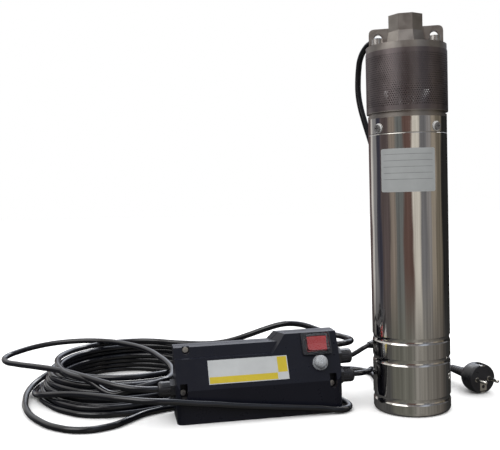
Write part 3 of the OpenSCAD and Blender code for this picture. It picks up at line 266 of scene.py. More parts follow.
def copper_winding():
    paint = Paint("copper_winding", (0.55, 0.25, 0.10), rough=0.32, metal=0.85, Coat_Weight=0.6)
    paint.colours(paint.noise(scale=90, detail=4), (0.42, 0.18, 0.07), (0.62, 0.30, 0.13))
    paint.bump(paint.wave("DIAGONAL", scale=300, distortion=3), distance=0.0005, strength=0.7)
    return paint.mat


def bronze():
    paint = Paint("bronze", (0.62, 0.42, 0.17), rough=0.28, metal=1.0)
    paint.colours(paint.noise(scale=70, detail=5), (0.52, 0.34, 0.13), (0.68, 0.48, 0.22))
    paint.roughness(paint.noise(scale=160, detail=4), low=0.2, high=0.36)
    return paint.mat


def soft_black(name, colour, low, high, grain, depth):
    paint = Paint(name, colour, rough=low)
    lighter = tuple(c * 1.5 + 0.002 for c in colour)
    paint.colours(paint.noise(scale=40, detail=6), colour, lighter, start=0.35, end=0.75)
    paint.roughness(paint.noise(scale=110, detail=5), low, high)
    paint.bump(paint.noise(scale=grain, detail=3), distance=depth, strength=0.4)
    return paint.mat


def box_plastic():
    paint = Paint("box_plastic", (0.006, 0.0066, 0.0125), rough=0.38, Specular_IOR_Level=0.25)
    blotch = paint.noise(scale=16, detail=6)
    paint.colours(blotch, (0.0048, 0.0053, 0.0105), (0.0075, 0.0082, 0.0145), end=0.75)
    paint.roughness(paint.noise(scale=75, detail=6), low=0.24, high=0.42)
    paint.bump(paint.noise(scale=1500, detail=2), distance=0.00006, strength=0.6)
    return paint.mat


def cable_sheath():
    paint = Paint("cable_sheath", (0.0045, 0.005, 0.0075), rough=0.15, Specular_IOR_Level=0.6)
    blotch = paint.noise(scale=25, detail=6)
    paint.colours(blotch, (0.0036, 0.004, 0.006), (0.0072, 0.008, 0.0118), end=0.75)
    paint.roughness(paint.noise(scale=60, detail=6), low=0.1, high=0.2)
    paint.bump(paint.noise(scale=420, detail=3), distance=0.0001, strength=0.2)
    return paint.mat


def coloured_plastic(name, colour, low, high):
    paint = Paint(name, colour, rough=low)
    darker = shaded(colour, 0.8)
    paint.colours(paint.noise(scale=90, detail=5), darker, colour, end=0.65)
    paint.roughness(paint.noise(scale=140, detail=4), low, high)
    return paint.mat


def clear_rubber():
    paint = Paint("clear_rubber", (0.96, 0.97, 0.98), rough=0.03, Transmission_Weight=1.0, IOR=1.25)
    paint.roughness(paint.noise(scale=160, detail=5), low=0.01, high=0.06)
    paint.bump(paint.noise(scale=90, detail=2), distance=0.0002, strength=0.1)
    return paint.mat


def milky_rubber():
    paint = Paint("milky_rubber", (0.56, 0.58, 0.61), rough=0.25, Transmission_Weight=0.45, IOR=1.4)
    paint.roughness(paint.noise(scale=160, detail=5), low=0.16, high=0.34)
    return paint.mat


def paper(name, colour):
    paint = Paint(name, colour, rough=0.4)
    darker = shaded(colour, 0.9)
    paint.colours(paint.noise(scale=60, detail=6), darker, colour)
    paint.roughness(paint.noise(scale=200, detail=4), low=0.34, high=0.5)
    return paint.mat


# Where a look changes, in metres: out from the barrel's axis on the screws, from painted highlight to
# painted shade, and up the motor support, where the finish changes
WASHER_EDGE = (0.0493, 0.0496)
RIM_EDGE = (0.3632, 0.3636)

STEEL = polished_steel()
CAST = cast_metal()
SHEET = dark_sheet()
SCREW = plain_steel("screw_steel", (0.62, 0.60, 0.58), 0.22, 0.36)
GROUND_STEEL = plain_steel("ground_steel", (0.70, 0.70, 0.71), 0.1, 0.2)
WIRE = plain_steel("spring_wire", (0.58, 0.58, 0.59), 0.24, 0.36)
NICKEL = plain_steel("nickel_plate", (0.74, 0.72, 0.67), 0.12, 0.22)
# Barrel screws: painted highlight on the washers, painted shade on the heads
ZINC_AND_PAINTED_LIGHT = zinc_and_painted_light_screw(*WASHER_EDGE)
TURNED = turned_casting(*RIM_EDGE)
IRON = machined_iron()
STACK = sheet_stack()
COPPER = copper_winding()
BRONZE = bronze()
RUBBER = soft_black("black_rubber", (0.018, 0.018, 0.018), 0.5, 0.68, 500, 0.00015)
BLACK = soft_black("black_plastic", (0.013, 0.013, 0.016), 0.24, 0.38, 900, 0.00006)
CARBON = soft_black("seal_carbon", (0.03, 0.03, 0.034), 0.3, 0.44, 700, 0.00005)
BOX = box_plastic()
SHEATH = cable_sheath()
RED = coloured_plastic("red_plastic", (0.42, 0.006, 0.008), 0.3, 0.4)
WHITE = coloured_plastic("white_plastic", (0.78, 0.78, 0.75), 0.3, 0.42)
CERAMIC = coloured_plastic("seal_ceramic", (0.82, 0.80, 0.74), 0.1, 0.2)
CLEAR = clear_rubber()
MILKY = milky_rubber()

BY_SLOT = {
    "cast_head": CAST,
    "stage_iron": IRON,
    "screw_steel": SCREW,
    "strainer_steel": SHEET,
    "bronze": BRONZE,
    "black_rubber": RUBBER,
    "seal_ceramic": CERAMIC,
    "seal_carbon": CARBON,
    "spring_steel": WIRE,
    "bearing_steel": GROUND_STEEL,
    "core_steel": STACK,
    "copper_winding": COPPER,
    "polished_barrel": STEEL,
    "cable_sheath": SHEATH,
    "box_shell": BOX,
    "black_plastic": BLACK,
    "red_plastic": RED,
    "clear_rubber": CLEAR,
    "white_plastic": WHITE,
    "plated_brass": NICKEL,
}

# Nodes that look different from the rest of their slot
BY_NODE = {
    "reset_boot": MILKY,
    # painted highlight on the washers, painted shade on the heads
    "barrel_screws": ZINC_AND_PAINTED_LIGHT,
    "motor_support": TURNED,
}

for part in frame["record"]["subparts"]:
    look = BY_NODE.get(part["node"], BY_SLOT[part["material_slot"]])
    for holder in nodes[part["node"]].material_slots:
        holder.link = "OBJECT"
        holder.material = look

BOX_EDGE = 0.8
BOX_EDGE_ANGLE = 28

for name in ("box_cover", "box_back"):
    edge = nodes[name].modifiers.new("soft_edges", "BEVEL")
    edge.width = BOX_EDGE * MM
    edge.segments = 2
    edge.limit_method = "ANGLE"
    edge.angle_limit = math.radians(BOX_EDGE_ANGLE)


# Pieces made as meshes

CRISP_ANGLE = 40


def piece(name, verts, faces, material, smooth=True):
    data = bpy.data.meshes.new(name)
    data.from_pydata([tuple(v) for v in verts], [], faces)
    data.update()
    data.materials.append(material)
    for polygon in data.polygons:
        polygon.use_smooth = smooth
    obj = bpy.data.objects.new(name, data)
    bpy.context.collection.objects.link(obj)
    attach(obj, "housing")
    return obj


def crisp(obj):
    split = obj.modifiers.new("crisp_edges", "EDGE_SPLIT")
    split.split_angle = math.radians(CRISP_ANGLE)


def around(r, angle, z):
    """A point on a cylinder round the shaft, angle in degrees from the front, to the right."""
    a = math.radians(angle - 90)
    return Vector((r * math.cos(a), r * math.sin(a), z)) * MM


# Cables: the same points as the solids in millimetres, apart from the ends that join the coil

BOX_X, BOX_Y, BOX_YAW = -276.0, -111.0, math.radians(22.4)


def box_point(u, v, z):
    x = BOX_X + u * math.cos(BOX_YAW) - v * math.sin(BOX_YAW)
    y = BOX_Y + u * math.sin(BOX_YAW) + v * math.cos(BOX_YAW)
    return (x, y, z)


LEAD_EXIT = (-23.54, 38.18, 464.66)
GLAND_PUMP = box_point(-21, 31, 38)
GLAND_MAINS = box_point(229, 24, 41)
GLAND_LEVEL = box_point(229, 33, 63)
PLUG_TURN = math.radians(-57)
PLUG_FACE = (93.0, 68.0, 20.0)
PLUG_REACH = 68.0
PLUG_END = (PLUG_FACE[0] - PLUG_REACH * math.cos(PLUG_TURN),
            PLUG_FACE[1] - PLUG_REACH * math.sin(PLUG_TURN),
            PLUG_FACE[2])
PUMP_CABLE_D = 8.0
MAINS_CABLE_D = 7.0
LEVEL_CABLE_D = 6.0

RUN = [LEAD_EXIT, (-27, 42, 467.7), (-35, 49.7, 471.8), (-45.5, 60, 471), (-54.7, 69.3, 464.3),
       (-61, 75.7, 452.7), (-63.2, 77.8, 441), (-64.5, 78.5, 425), (-64.5, 78, 408),
       (-62, 76.5, 390), (-57, 74, 370), (-50, 71, 346), (-42, 67, 318), (-34, 64, 280),
       (-28, 62, 230), (-25, 60, 180), (-23, 59.5, 130), (-22, 60, 90), (-22.5, 62, 58),
       (-25, 67, 34), (-30, 76, 17), (-38.5, 88.5, 7.5), (-47, 106.5, 4.4), (-52.5, 128, 4.4),
       (-60, 150, 4.4), (-79, 166, 4.4), (-115, 171, 4.4), (-170, 170, 4.4), (-230, 172, 4.4),
       (-290, 182, 4.4), (-320, 184, 6), (-347, 184.5, 10), (-372, 181.5, 13), (-396, 176.5, 12.5)]
LOOP_A = [(-366, -90, 30), (-350, -91, 34), (-334, -88.3, 38.5), (-320, -81.4, 41.5),
          (-311, -73.9, 43), (-305, -63.6, 43.8), (-303, -52, 44.6), (-305, -39, 46),
          (-312, -21, 48), (-323, -3, 49.7), (-341, 20, 51.5), (-371, 55, 53), (-415, 89, 53.5),
          (-470, 113, 53), (-523, 114, 51), (-564, 101, 47), (-590, 79, 42), (-598.5, 55, 39),
          (-586, 31, 38), (-553, 8, 40), (-508, -19, 44), (-455, -47, 46.5), (-412, -73, 46.5),
          (-375, -91, 44), (-345, -98.5, 41), (-322, -96.3, 39), GLAND_PUMP]
LOOP_B = [(-520, 56, 21), (-529, 26, 14), (-528, -6, 8.5), (-513, -45, 5), (-487, -88, 4.4),
          (-453, -124, 4.4), (-414, -148, 4.4), (-378, -152, 4.4), (-352, -134, 4.4),
          (-340, -108, 4.4), (-331, -84, 4.4), (-316.5, -65, 4.4)]
FRONT = [(-440, -76, 24), (-412, -92, 29), (-380, -110, 33), (-340, -124, 34.5),
         (-308, -126.5, 33.5), (-280, -119, 31.6), (-255.8, -109, 27.8), (-231.3, -99, 24.6),
         (-206.5, -88.8, 20.7), (-181.4, -78.4, 17.5), (-156.1, -68, 14.4), (-130.5, -57.4, 11.5),
         (-108.2, -48.5, 8.8), (-99.4, -44.9, 7), (-91.3, -41.9, 5.7), (-83.6, -37.2, 4.9),
         (-78.6, -29, 4.5), (-77.8, -19.6, 4.4), (-80.8, -10, 4.4), (-88, 1.1, 4.4),
         (-96.1, 14, 4.4), (-106.3, 27.1, 4.4), (-119.3, 39, 4.4), (-135.2, 48.7, 4.4),
         (-152.2, 55.8, 4.6), (-172, 64, 5.6), (-197, 62, 10), (-217, 54, 18), (-228, 41, 29),
         (-227, 28, 41), (-213, 18.5, 52), (-192, 15.5, 60), (-168, 17.5, 65), (-143, 22.5, 67.5),
         (-118, 28, 70), (-99, 34, 71), (-87, 44, 71), (-81, 61, 70), (-84, 80, 69), (-95, 95, 69),
         (-113, 101, 72), (-131, 98, 78), (-146, 92, 84.5), (-161, 88, 88), (-177, 86, 88),
         (-198, 87, 82.5), (-227, 89, 72), (-250, 94, 63.5), (-275, 104, 56), (-303, 116, 51),
         (-335, 127, 48.8), (-366, 134, 48.4)]
MAINS_IN = [GLAND_MAINS, (-65.3, 2.3, 41), (-58.7, 8.4, 41), (-54.5, 16.2, 40.9), (-53, 25, 40.2),
            (-52.6, 34, 38.8), (-52, 45, 36), (-50, 56, 32.4), (-46.5, 69, 27.4), (-42, 86, 20),
            (-38, 102, 13)]
MAINS_OUT = [(14, 155, 17.5), (30, 152, 18), (44, 143, 19), PLUG_END]
LEVEL = [box_point(213, 33, 63), GLAND_LEVEL, (-70, 10, 66), (-62, 13.5, 70.5), (-54.2, 18.9, 74)]

COIL = (-395.0, 45.0)
MAINS_COIL = (0.0, 119.0)
POINTS_PER_TURN = 20
TURN_KEEPS = 0.72
WOBBLE_PER_TURN = 3.1
WOBBLE_SHIFT = 1.7


def ease(x):
    x = min(max(x, 0.0), 1.0)
    return x * x * (3 - 2 * x)


def spread(table, x):
    """The values at a place, read along rows of (place, values) and eased between them."""
    for (x0, *a), (x1, *b) in zip(table, table[1:]):
        if x <= x1:
            t = ease((x - x0) / (x1 - x0))
            return [p + (q - p) * t for p, q in zip(a, b)]
    return list(table[-1][1:])


def swell(angle, middle, half):
    """One at the middle angle, falling to nothing at a half width either side."""
    off = abs((angle - middle + 180) % 360 - 180)
    if off >= half:
        return 0.0
    return math.cos(math.radians(90 * off / half)) ** 2


def polar(centre, r, angle, z):
    a = math.radians(angle)
    return (centre[0] + r * math.cos(a), centre[1] + r * math.sin(a), z)


def winding_points(centre, first, last, slots, wobble=0.0, sag=()):
    """Points of a coil from one angle to another in degrees. Each turn keeps one slot (radius, height)
    for most of the way and then moves over to the next. The sag list holds (middle, half width,
    share at the floor, height where it ends) for places where the low turns spread out or in."""
    total = last - first
    count = max(2, round(abs(total) / 360 * POINTS_PER_TURN))
    points = []
    for i in range(1, count):
        gone = abs(total) * i / count / 360
        turn = int(gone)
        part = ease((gone - turn - TURN_KEEPS) / (1 - TURN_KEEPS))
        here = slots[min(turn, len(slots) - 1)]
        after = slots[min(turn + 1, len(slots) - 1)]
        r = here[0] + (after[0] - here[0]) * part
        r += wobble * math.sin(WOBBLE_PER_TURN * gone + WOBBLE_SHIFT * turn)
        z = here[1] + (after[1] - here[1]) * part
        angle = first + total * i / count
        for middle, half, share, top in sag:
            low = max(0.0, 1 - z / top) * min(gone, 1.0)
            r *= 1 + share * low * swell(angle, middle, half)
        points.append(polar(centre, r, angle, z))
    return points


def arc_points(centre, first, last, table):
    """Points of an arc from one angle to another, with rows of (angle, radius, height) to follow."""
    count = max(2, round(abs(last - first) / 360 * POINTS_PER_TURN))
    points = []
    for i in range(1, count):
        angle = first + (last - first) * i / count
        r, z = spread(table, angle)
        points.append(polar(centre, r, angle, z))
    return points


def angle_of(centre, p):
    return math.degrees(math.atan2(p[1] - centre[1], p[0] - centre[0]))


def cable(name, points, diameter):
    data = bpy.data.curves.new(name, "CURVE")
    data.dimensions = "3D"
    data.bevel_depth = diameter / 2 * MM
    data.bevel_resolution = 5
    data.resolution_u = 6
    data.use_fill_caps = True
    spline = data.splines.new("BEZIER")
    spline.bezier_points.add(len(points) - 1)
    for knot, p in zip(spline.bezier_points, metres(points)):
        knot.co = p
        knot.handle_left_type = "AUTO"
        knot.handle_right_type = "AUTO"
    obj = bpy.data.objects.new(name, data)
    data.materials.append(SHEATH)
    bpy.context.collection.objects.link(obj)
    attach(obj, "housing")
    return obj


PUMP_SLOTS = [(127.0, 4.4), (118.8, 4.4), (110.6, 4.4), (106.5, 11.6), (114.7, 11.6), (122.9, 11.6),
              (118.8, 18.8), (110.6, 18.8), (102.4, 18.8), (98.3, 26.0), (106.5, 26.0), (114.7, 26.0),
              (110.6, 33.2), (102.4, 33.2), (98.3, 40.4), (106.5, 40.4)]
PUMP_START = 90
PUMP_TURNS = len(PUMP_SLOTS) - 1
PUMP_WOBBLE = 0.8
PUMP_SAG = [(268, 45, 0.23, 21), (60, 80, -0.24, 34)]

wound = winding_points(COIL, PUMP_START, PUMP_START + 360 * PUMP_TURNS, PUMP_SLOTS, PUMP_WOBBLE, PUMP_SAG)
leaving = arc_points(COIL, PUMP_START, angle_of(COIL, LOOP_B[0]),
                     [(90, 106.5, 40.4), (125, 116, 40), (158, 129, 28), (176, 131.5, 20)])
outside = arc_points(COIL, angle_of(COIL, LOOP_B[-1]), angle_of(COIL, FRONT[0]) + 360,
                     [(-55, 135.4, 4.4), (195, 134.5, 4.4), (212, 134, 9), (230, 134, 17),
                      (250, 129, 24)])
on_top = arc_points(COIL, angle_of(COIL, FRONT[-1]), angle_of(COIL, LOOP_A[0]) + 360,
                    [(72, 94, 48.4), (120, 102.4, 47.8), (215, 102.4, 47.8), (258, 118, 46),
                     (282, 138, 30)])
PUMP_ROUTE = RUN + wound + leaving + LOOP_B + outside + FRONT + on_top + LOOP_A

MAINS_SLOTS = [(39.2, 3.5), (31.9, 3.5), (31.9, 10.5), (39.2, 10.5), (39.2, 17.5), (33.5, 17.5),
               (38.6, 17.5)]
MAINS_TURNS = 5

mains_first = angle_of(MAINS_COIL, MAINS_IN[-1]) + 360
mains_last = angle_of(MAINS_COIL, MAINS_OUT[0]) - 360 * MAINS_TURNS
MAINS_ROUTE = MAINS_IN + winding_points(MAINS_COIL, mains_first, mains_last, MAINS_SLOTS) + MAINS_OUT

# Earth contact on the plug's face, in millimetres
EARTH_HALF = 5.2
EARTH_HOLE_R = 2.4
EARTH_DROP = 10.0
EARTH_LAYERS = (0.02, 0.5)
EARTH_SIDES = 16


def earth_plate():
    """A square plate with a round hole, below the pins."""
    axis = Vector((math.cos(PLUG_TURN), math.sin(PLUG_TURN), 0))
    across = Vector((-axis.y, axis.x, 0))
    up = Vector((0, 0, 1))
    middle = Vector(PLUG_FACE) - up * EARTH_DROP
    verts, faces = [], []
    for out in EARTH_LAYERS:
        for hole in (False, True):
            for k in range(EARTH_SIDES):
                a = 2 * math.pi * k / EARTH_SIDES
                c, s = math.cos(a), math.sin(a)
                reach = EARTH_HOLE_R if hole else EARTH_HALF / max(abs(c), abs(s))
                verts.append((middle + axis * out + across * reach * c + up * reach * s) * MM)
    back, back_hole, front, front_hole = (EARTH_SIDES * i for i in range(4))
    bands = ((front, front_hole), (front_hole, back_hole), (back_hole, back), (back, front))
    for k in range(EARTH_SIDES):
        n = (k + 1) % EARTH_SIDES
        for one, other in bands:
            faces.append((one + k, one + n, other + n, other + k))
    return piece("plug_earth", verts, faces, NICKEL, smooth=False)


pump_cable = cable("pump_cable", PUMP_ROUTE, PUMP_CABLE_D)
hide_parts("pump_cable_run", "pump_cable_coil", "pump_cable_loops")

mains_lead = cable("mains_cable", MAINS_ROUTE, MAINS_CABLE_D)
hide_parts("mains_lead", "mains_coil")
earth_plate()

level_cable = cable("level_cable", LEVEL, LEVEL_CABLE_D)
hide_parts("level_lead")


# Inlet strainer: fine perforated sheet, in millimetres

STRAINER_R = 49.7
STRAINER_LOW, STRAINER_HIGH = 371.0, 444.0
STRAINER_COLUMNS = 112
STRAINER_ROWS = 24
STRAINER_MARGIN = 5.5
STRAINER_THICK = 0.8
HOLE_R = 0.72
HOLE_SIDES = 8


def strainer():
    """A plain band at both edges, and rows of cells between them with an eight-sided hole each."""
    verts, faces = [], []
    step = 360 / STRAINER_COLUMNS
    low, high = STRAINER_LOW + STRAINER_MARGIN, STRAINER_HIGH - STRAINER_MARGIN
    pitch = (high - low) / STRAINER_ROWS
    to_angle = math.degrees(1 / STRAINER_R)

    def plain_band(bottom, top):
        start = len(verts)
        for i in range(STRAINER_COLUMNS):
            verts.append(around(STRAINER_R, i * step, bottom))
            verts.append(around(STRAINER_R, i * step, top))
        for i in range(STRAINER_COLUMNS):
            a = start + 2 * i
            b = start + 2 * ((i + 1) % STRAINER_COLUMNS)
            faces.append((a, b, b + 1, a + 1))

    plain_band(STRAINER_LOW, low)
    plain_band(high, STRAINER_HIGH)
    for row in range(STRAINER_ROWS):
        z = low + (row + 0.5) * pitch
        shift = 0.5 * (row % 2)
        start = len(verts)
        for i in range(STRAINER_COLUMNS):
            angle = (i + shift) * step
            verts.append(around(STRAINER_R, angle, z - pitch / 2))
            verts.append(around(STRAINER_R, angle, z + pitch / 2))
        for i in range(STRAINER_COLUMNS):
            middle = (i + 0.5 + shift) * step
            first = len(verts)
            for k in range(HOLE_SIDES):
                turn = 2 * math.pi * (k + 0.5) / HOLE_SIDES
                across = HOLE_R * math.cos(turn) * to_angle
                verts.append(around(STRAINER_R, middle + across, z + HOLE_R * math.sin(turn)))
            h = range(first, first + HOLE_SIDES)
            a = start + 2 * i
            b = start + 2 * ((i + 1) % STRAINER_COLUMNS)
            low_left, low_right, high_right, high_left = a, b, b + 1, a + 1
            faces.append((low_right, high_right, h[0], h[7]))
            faces.append((high_right, high_left, h[2], h[1]))
            faces.append((high_left, low_left, h[4], h[3]))
            faces.append((low_left, low_right, h[6], h[5]))
            faces.append((high_right, h[1], h[0]))
            faces.append((high_left, h[3], h[2]))
            faces.append((low_left, h[5], h[4]))
            faces.append((low_right, h[7], h[6]))
    obj = piece("strainer_sheet", verts, faces, SHEET)
    thick = obj.modifiers.new("thickness", "SOLIDIFY")
    thick.thickness = STRAINER_THICK * MM
    thick.offset = -1
    crisp(obj)
    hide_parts("inlet_strainer")


strainer()


# Blank rating plate with thin rules, in millimetres and degrees

PLATE_R = 48.02
PLATE_HALF = 41
PLATE_LOW, PLATE_HIGH = 273.5, 325.5
PLATE_THICK = 0.2
PLATE_CORNER = 1.5
PLATE_COLUMNS = 40
PLATE_ROWS = 8
RULE_R = 48.2
RULE_HALF = 37
RULE_WIDTH = 0.35
RULE_THICK = 0.05
RULE_CORNER = 0.1
RULE_TOP = 318.5
RULE_STEP = 7.5
RULES = 5


def curved_plate(name, r, half_angle, low, high, thick, corner, material):
    """A plate bent round the barrel, with rounded corners."""
    width = math.radians(half_angle) * r
    verts, faces = [], []
    for side in (0.0, thick):
        for i in range(PLATE_COLUMNS + 1):
            x = -width + 2 * width * i / PLATE_COLUMNS
            cut = max(0.0, abs(x) - (width - corner))
            drop = corner - math.sqrt(max(0.0, corner * corner - cut * cut))
            for j in range(PLATE_ROWS + 1):
                z = low + drop + (high - low - 2 * drop) * j / PLATE_ROWS
                verts.append(around(r + side, math.degrees(x / r), z))
    row = PLATE_ROWS + 1
    layer = row * (PLATE_COLUMNS + 1)
    for i in range(PLATE_COLUMNS):
        for j in range(PLATE_ROWS):
            a = i * row + j
            faces.append((layer + a, layer + a + row, layer + a + row + 1, layer + a + 1))
            faces.append((a + 1, a + row + 1, a + row, a))
    for i in range(PLATE_COLUMNS):
        for j in (0, PLATE_ROWS):
            a = i * row + j
            b = a + row
            faces.append((a, b, layer + b, layer + a) if j == 0 else (b, a, layer + a, layer + b))
    for i in (0, PLATE_COLUMNS):
        for j in range(PLATE_ROWS):
            a = i * row + j
            b = a + 1
            faces.append((b, a, layer + a, layer + b) if i == 0 else (a, b, layer + b, layer + a))
    crisp(piece(name, verts, faces, material))


LABEL = paper("label_silver", (0.46, 0.475, 0.475))
RULE = paper("label_rule", (0.10, 0.10, 0.11))
curved_plate("rating_plate", PLATE_R, PLATE_HALF, PLATE_LOW, PLATE_HIGH, PLATE_THICK, PLATE_CORNER, LABEL)
for i in range(RULES):
    low = RULE_TOP - RULE_STEP * i
    curved_plate(f"plate_rule_{int(low)}", RULE_R, RULE_HALF, low, low + RULE_WIDTH, RULE_THICK,
                 RULE_CORNER, RULE)


# Blank sticker on the box's sloping face, in millimetres

BOX_HIGH = 97
SLOPE_LOW = 41
SLOPE_DEEP = 30
SLOPE = math.atan2(BOX_HIGH - SLOPE_LOW, SLOPE_DEEP)


def slope_point(u, s, out):
    """A point along the box, up its slope and out from it."""
    v = s * math.cos(SLOPE) - out * math.sin(SLOPE)
    z = SLOPE_LOW + s * math.sin(SLOPE) + out * math.cos(SLOPE)
    return Vector(box_point(u, v, z)) * MM


def slope_plate(name, along, up, layer, material):
    u0, u1 = along
    s0, s1 = up
    corners = ((u0, s0), (u1, s0), (u1, s1), (u0, s1))
    verts = [slope_point(u, s, out) for out in layer for u, s in corners]
    faces = [(4, 5, 6, 7), (3, 2, 1, 0), (0, 1, 5, 4), (1, 2, 6, 5), (2, 3, 7, 6), (3, 0, 4, 7)]
    piece(name, verts, faces, material, smooth=False)


STICKER = paper("sticker_white", (0.47, 0.485, 0.49))
YELLOW = paper("sticker_yellow", (0.55, 0.42, 0.010))
slope_plate("sticker", along=(40, 140), up=(6, 36), layer=(0.02, 0.15), material=STICKER)
slope_plate("sticker_band", along=(41, 126), up=(7, 15), layer=(0.15, 0.2), material=YELLOW)
slope_plate("sticker_cell", along=(127, 139), up=(15.5, 35), layer=(0.15, 0.2), material=YELLOW)


# Floor, light and background, in metres

FLOOR_HALF = 6


def floor():
    verts = [(x * FLOOR_HALF, y * FLOOR_HALF, 0) for x, y in ((-1, -1), (1, -1), (1, 1), (-1, 1))]
    data = bpy.data.meshes.new("floor")
    data.from_pydata(verts, [], [(0, 1, 2, 3)])
    paint = Paint("floor_white", (0.95, 0.95, 0.95), rough=0.75, Specular_IOR_Level=0.0)
    data.materials.append(paint.mat)
    obj = bpy.data.objects.new("floor", data)
    bpy.context.collection.objects.link(obj)
    obj.visible_glossy = False
    obj.visible_diffuse = False


def area_light(name, place, target, size, watts, in_gloss):
    data = bpy.data.lights.new(name, "AREA")
    data.energy = watts
    data.shape = "RECTANGLE"
    data.size, data.size_y = size
    obj = bpy.data.objects.new(name, data)
    obj.location = place
    obj.rotation_euler = (Vector(target) - Vector(place)).to_track_quat("-Z", "Y").to_euler()
    bpy.context.collection.objects.link(obj)
    obj.visible_glossy = in_gloss


# The room that polished metal mirrors. Place 0.5 is the camera's side, 0 and 1 are behind the object.
# Upright panels side by side: the place where each one ends, and its colour
PANELS = [(0.12, (0.12, 0.09, 0.09)), (0.15, (0.70, 0.68, 0.66)), (0.21, (0.25, 0.25, 0.26)),
          (0.26, (0.05, 0.05, 0.07)), (0.34, (0.10, 0.08, 0.08)), (0.40, (0.26, 0.22, 0.19)),
          (0.46, (0.15, 0.16, 0.16)), (0.53, (0.13, 0.08, 0.07)), (0.60, (0.66, 0.63, 0.57)),
          (0.65, (0.17, 0.17, 0.18)), (0.69, (0.27, 0.26, 0.26)), (0.74, (0.33, 0.29, 0.24)),
          (0.81, (0.16, 0.14, 0.11)), (1.00, (0.02, 0.02, 0.02))]
PANEL_BLEND = 0.006
# Floor and ceiling, as colours at places
FLOOR_GLOW = [(0.00, (0.02, 0.02, 0.02)), (0.24, (0.09, 0.09, 0.09)), (0.31, (0.07, 0.07, 0.07)),
              (0.36, (0.15, 0.15, 0.13)), (0.50, (0.17, 0.17, 0.15)), (0.55, (0.29, 0.28, 0.26)),
              (0.60, (0.24, 0.23, 0.21)), (0.78, (0.12, 0.11, 0.10)), (0.85, (0.04, 0.04, 0.04)),
              (1.00, (0.02, 0.02, 0.02))]
CEILING = [(0.00, (2.60, 2.75, 3.10)), (0.12, (0.90, 0.90, 0.90)), (0.24, (1.00, 0.98, 0.94)),
           (0.38, (0.90, 0.87, 0.82)), (0.45, (0.42, 0.40, 0.39)), (0.49, (0.22, 0.21, 0.21)),
           (0.56, (0.22, 0.21, 0.22)), (0.61, (0.50, 0.55, 0.64)), (0.68, (0.18, 0.18, 0.19)),
           (0.80, (0.18, 0.18, 0.19)), (0.88, (0.60, 0.62, 0.68)), (1.00, (2.60, 2.75, 3.10))]
# How steeply a ray climbs, from -1 to 1, where the floor, the ceiling and the soft sky come in
FLOOR_EDGE = (-0.21, -0.12)
CEILING_EDGE = (0.13, 0.28)
CEILING_CLIMB = (0.15, 0.7)
CEILING_GAIN = (0.5, 1.2)
SKY_CLIMB = (-0.1, 1.0)
SKY_GAIN = (0.05, 1.6)
# Waves round the room and up it: how far they move the panels' edges, and how they vary the brightness
WARP_WAVES = (14, 9)
WARP = (-0.012, 0.012)
STREAK_WAVES = (70, 3)
STREAK_GAIN = (0.72, 1.28)


def panel_stops():
    stops = []
    low = 0.0
    for high, colour in PANELS:
        stops.append((low + PANEL_BLEND, colour))
        stops.append((high - PANEL_BLEND, colour))
        low = high
    return stops


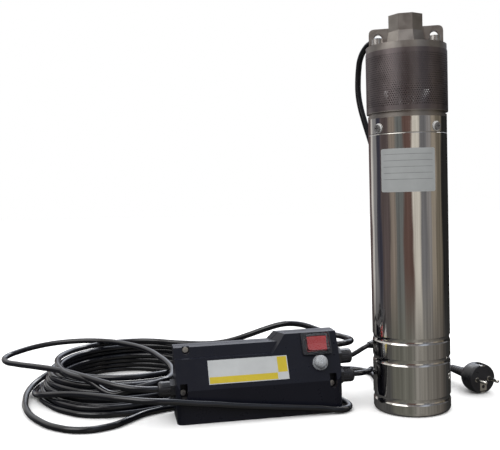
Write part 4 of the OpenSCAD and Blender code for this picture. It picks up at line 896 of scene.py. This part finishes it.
def world():
    """White for the camera, a pale sky for soft light, and a striped room for reflections."""
    made = bpy.data.worlds.new("studio")
    bpy.context.scene.world = made
    made.use_nodes = True
    tree = made.node_tree
    tree.nodes.clear()
    link = tree.links.new

    def ramp(value, stops):
        node = tree.nodes.new("ShaderNodeValToRGB")
        set_stops(node, stops)
        link(value, node.inputs["Fac"])
        return node.outputs["Color"]

    def background():
        node = tree.nodes.new("ShaderNodeBackground")
        node.inputs["Color"].default_value = (1, 1, 1, 1)
        node.inputs["Strength"].default_value = 1.0
        return node

    def chosen(factor, first, second):
        node = tree.nodes.new("ShaderNodeMixShader")
        link(factor, node.inputs["Fac"])
        link(first, node.inputs[1])
        link(second, node.inputs[2])
        return node.outputs[0]

    path = tree.nodes.new("ShaderNodeLightPath")
    coords = tree.nodes.new("ShaderNodeTexCoord")
    split = tree.nodes.new("ShaderNodeSeparateXYZ")
    link(coords.outputs["Generated"], split.inputs[0])
    flip = tree.nodes.new("ShaderNodeMath")
    flip.operation = "MULTIPLY"
    flip.inputs[1].default_value = -1
    link(split.outputs["Y"], flip.inputs[0])
    turn = tree.nodes.new("ShaderNodeMath")
    turn.operation = "ARCTAN2"
    link(split.outputs["X"], turn.inputs[0])
    link(flip.outputs[0], turn.inputs[1])
    place = map_range(tree, turn.outputs[0], -math.pi, math.pi, 0, 1)
    climb = split.outputs["Z"]

    def uneven(across, upward, low, high):
        """A value that wanders between two ends, with so many waves round the room and up it."""
        spot = tree.nodes.new("ShaderNodeCombineXYZ")
        link(map_range(tree, place, 0, 1, 0, across), spot.inputs["X"])
        link(map_range(tree, climb, -1, 1, -upward, upward), spot.inputs["Y"])
        noise = tree.nodes.new("ShaderNodeTexNoise")
        noise.inputs["Scale"].default_value = 1.0
        noise.inputs["Detail"].default_value = 3.0
        link(spot.outputs[0], noise.inputs["Vector"])
        return map_range(tree, noise.outputs["Fac"], 0.3, 0.7, low, high)

    warped = tree.nodes.new("ShaderNodeMath")
    warped.operation = "ADD"
    link(place, warped.inputs[0])
    link(uneven(*WARP_WAVES, *WARP), warped.inputs[1])
    room = tree.nodes.new("ShaderNodeMix")
    room.data_type = "RGBA"
    link(map_range(tree, climb, *FLOOR_EDGE, 1, 0), room.inputs["Factor"])
    link(ramp(warped.outputs[0], panel_stops()), room.inputs["A"])
    link(ramp(place, FLOOR_GLOW), room.inputs["B"])
    whole = tree.nodes.new("ShaderNodeMix")
    whole.data_type = "RGBA"
    link(map_range(tree, climb, *CEILING_EDGE, 0, 1), whole.inputs["Factor"])
    link(room.outputs["Result"], whole.inputs["A"])
    higher = tree.nodes.new("ShaderNodeVectorMath")
    higher.operation = "SCALE"
    link(ramp(place, CEILING), higher.inputs[0])
    link(map_range(tree, climb, *CEILING_CLIMB, *CEILING_GAIN), higher.inputs["Scale"])
    link(higher.outputs[0], whole.inputs["B"])
    stripes = background()
    link(uneven(*STREAK_WAVES, *STREAK_GAIN), stripes.inputs["Strength"])
    link(whole.outputs["Result"], stripes.inputs["Color"])
    soft = background()
    link(map_range(tree, climb, *SKY_CLIMB, *SKY_GAIN), soft.inputs["Strength"])
    white = background()
    lit = chosen(path.outputs["Is Camera Ray"], soft.outputs[0], white.outputs[0])
    out = tree.nodes.new("ShaderNodeOutputWorld")
    link(chosen(path.outputs["Is Glossy Ray"], lit, stripes.outputs[0]), out.inputs["Surface"])


# Name, place, target, size, watts, and whether polished metal mirrors the light
LIGHTS = [
    ("key", (-1.3, -1.5, 1.9), (-0.15, 0.0, 0.15), (2.0, 2.0), 26, True),
    ("fill", (1.5, -1.2, 1.3), (0.0, 0.0, 0.2), (1.4, 1.4), 9, False),
    ("back", (0.2, 1.5, 1.8), (-0.15, 0.0, 0.2), (3.2, 0.35), 20, True),
]

floor()
for light in LIGHTS:
    area_light(*light)
world()

bpy.context.scene.view_settings.view_transform = "Standard"
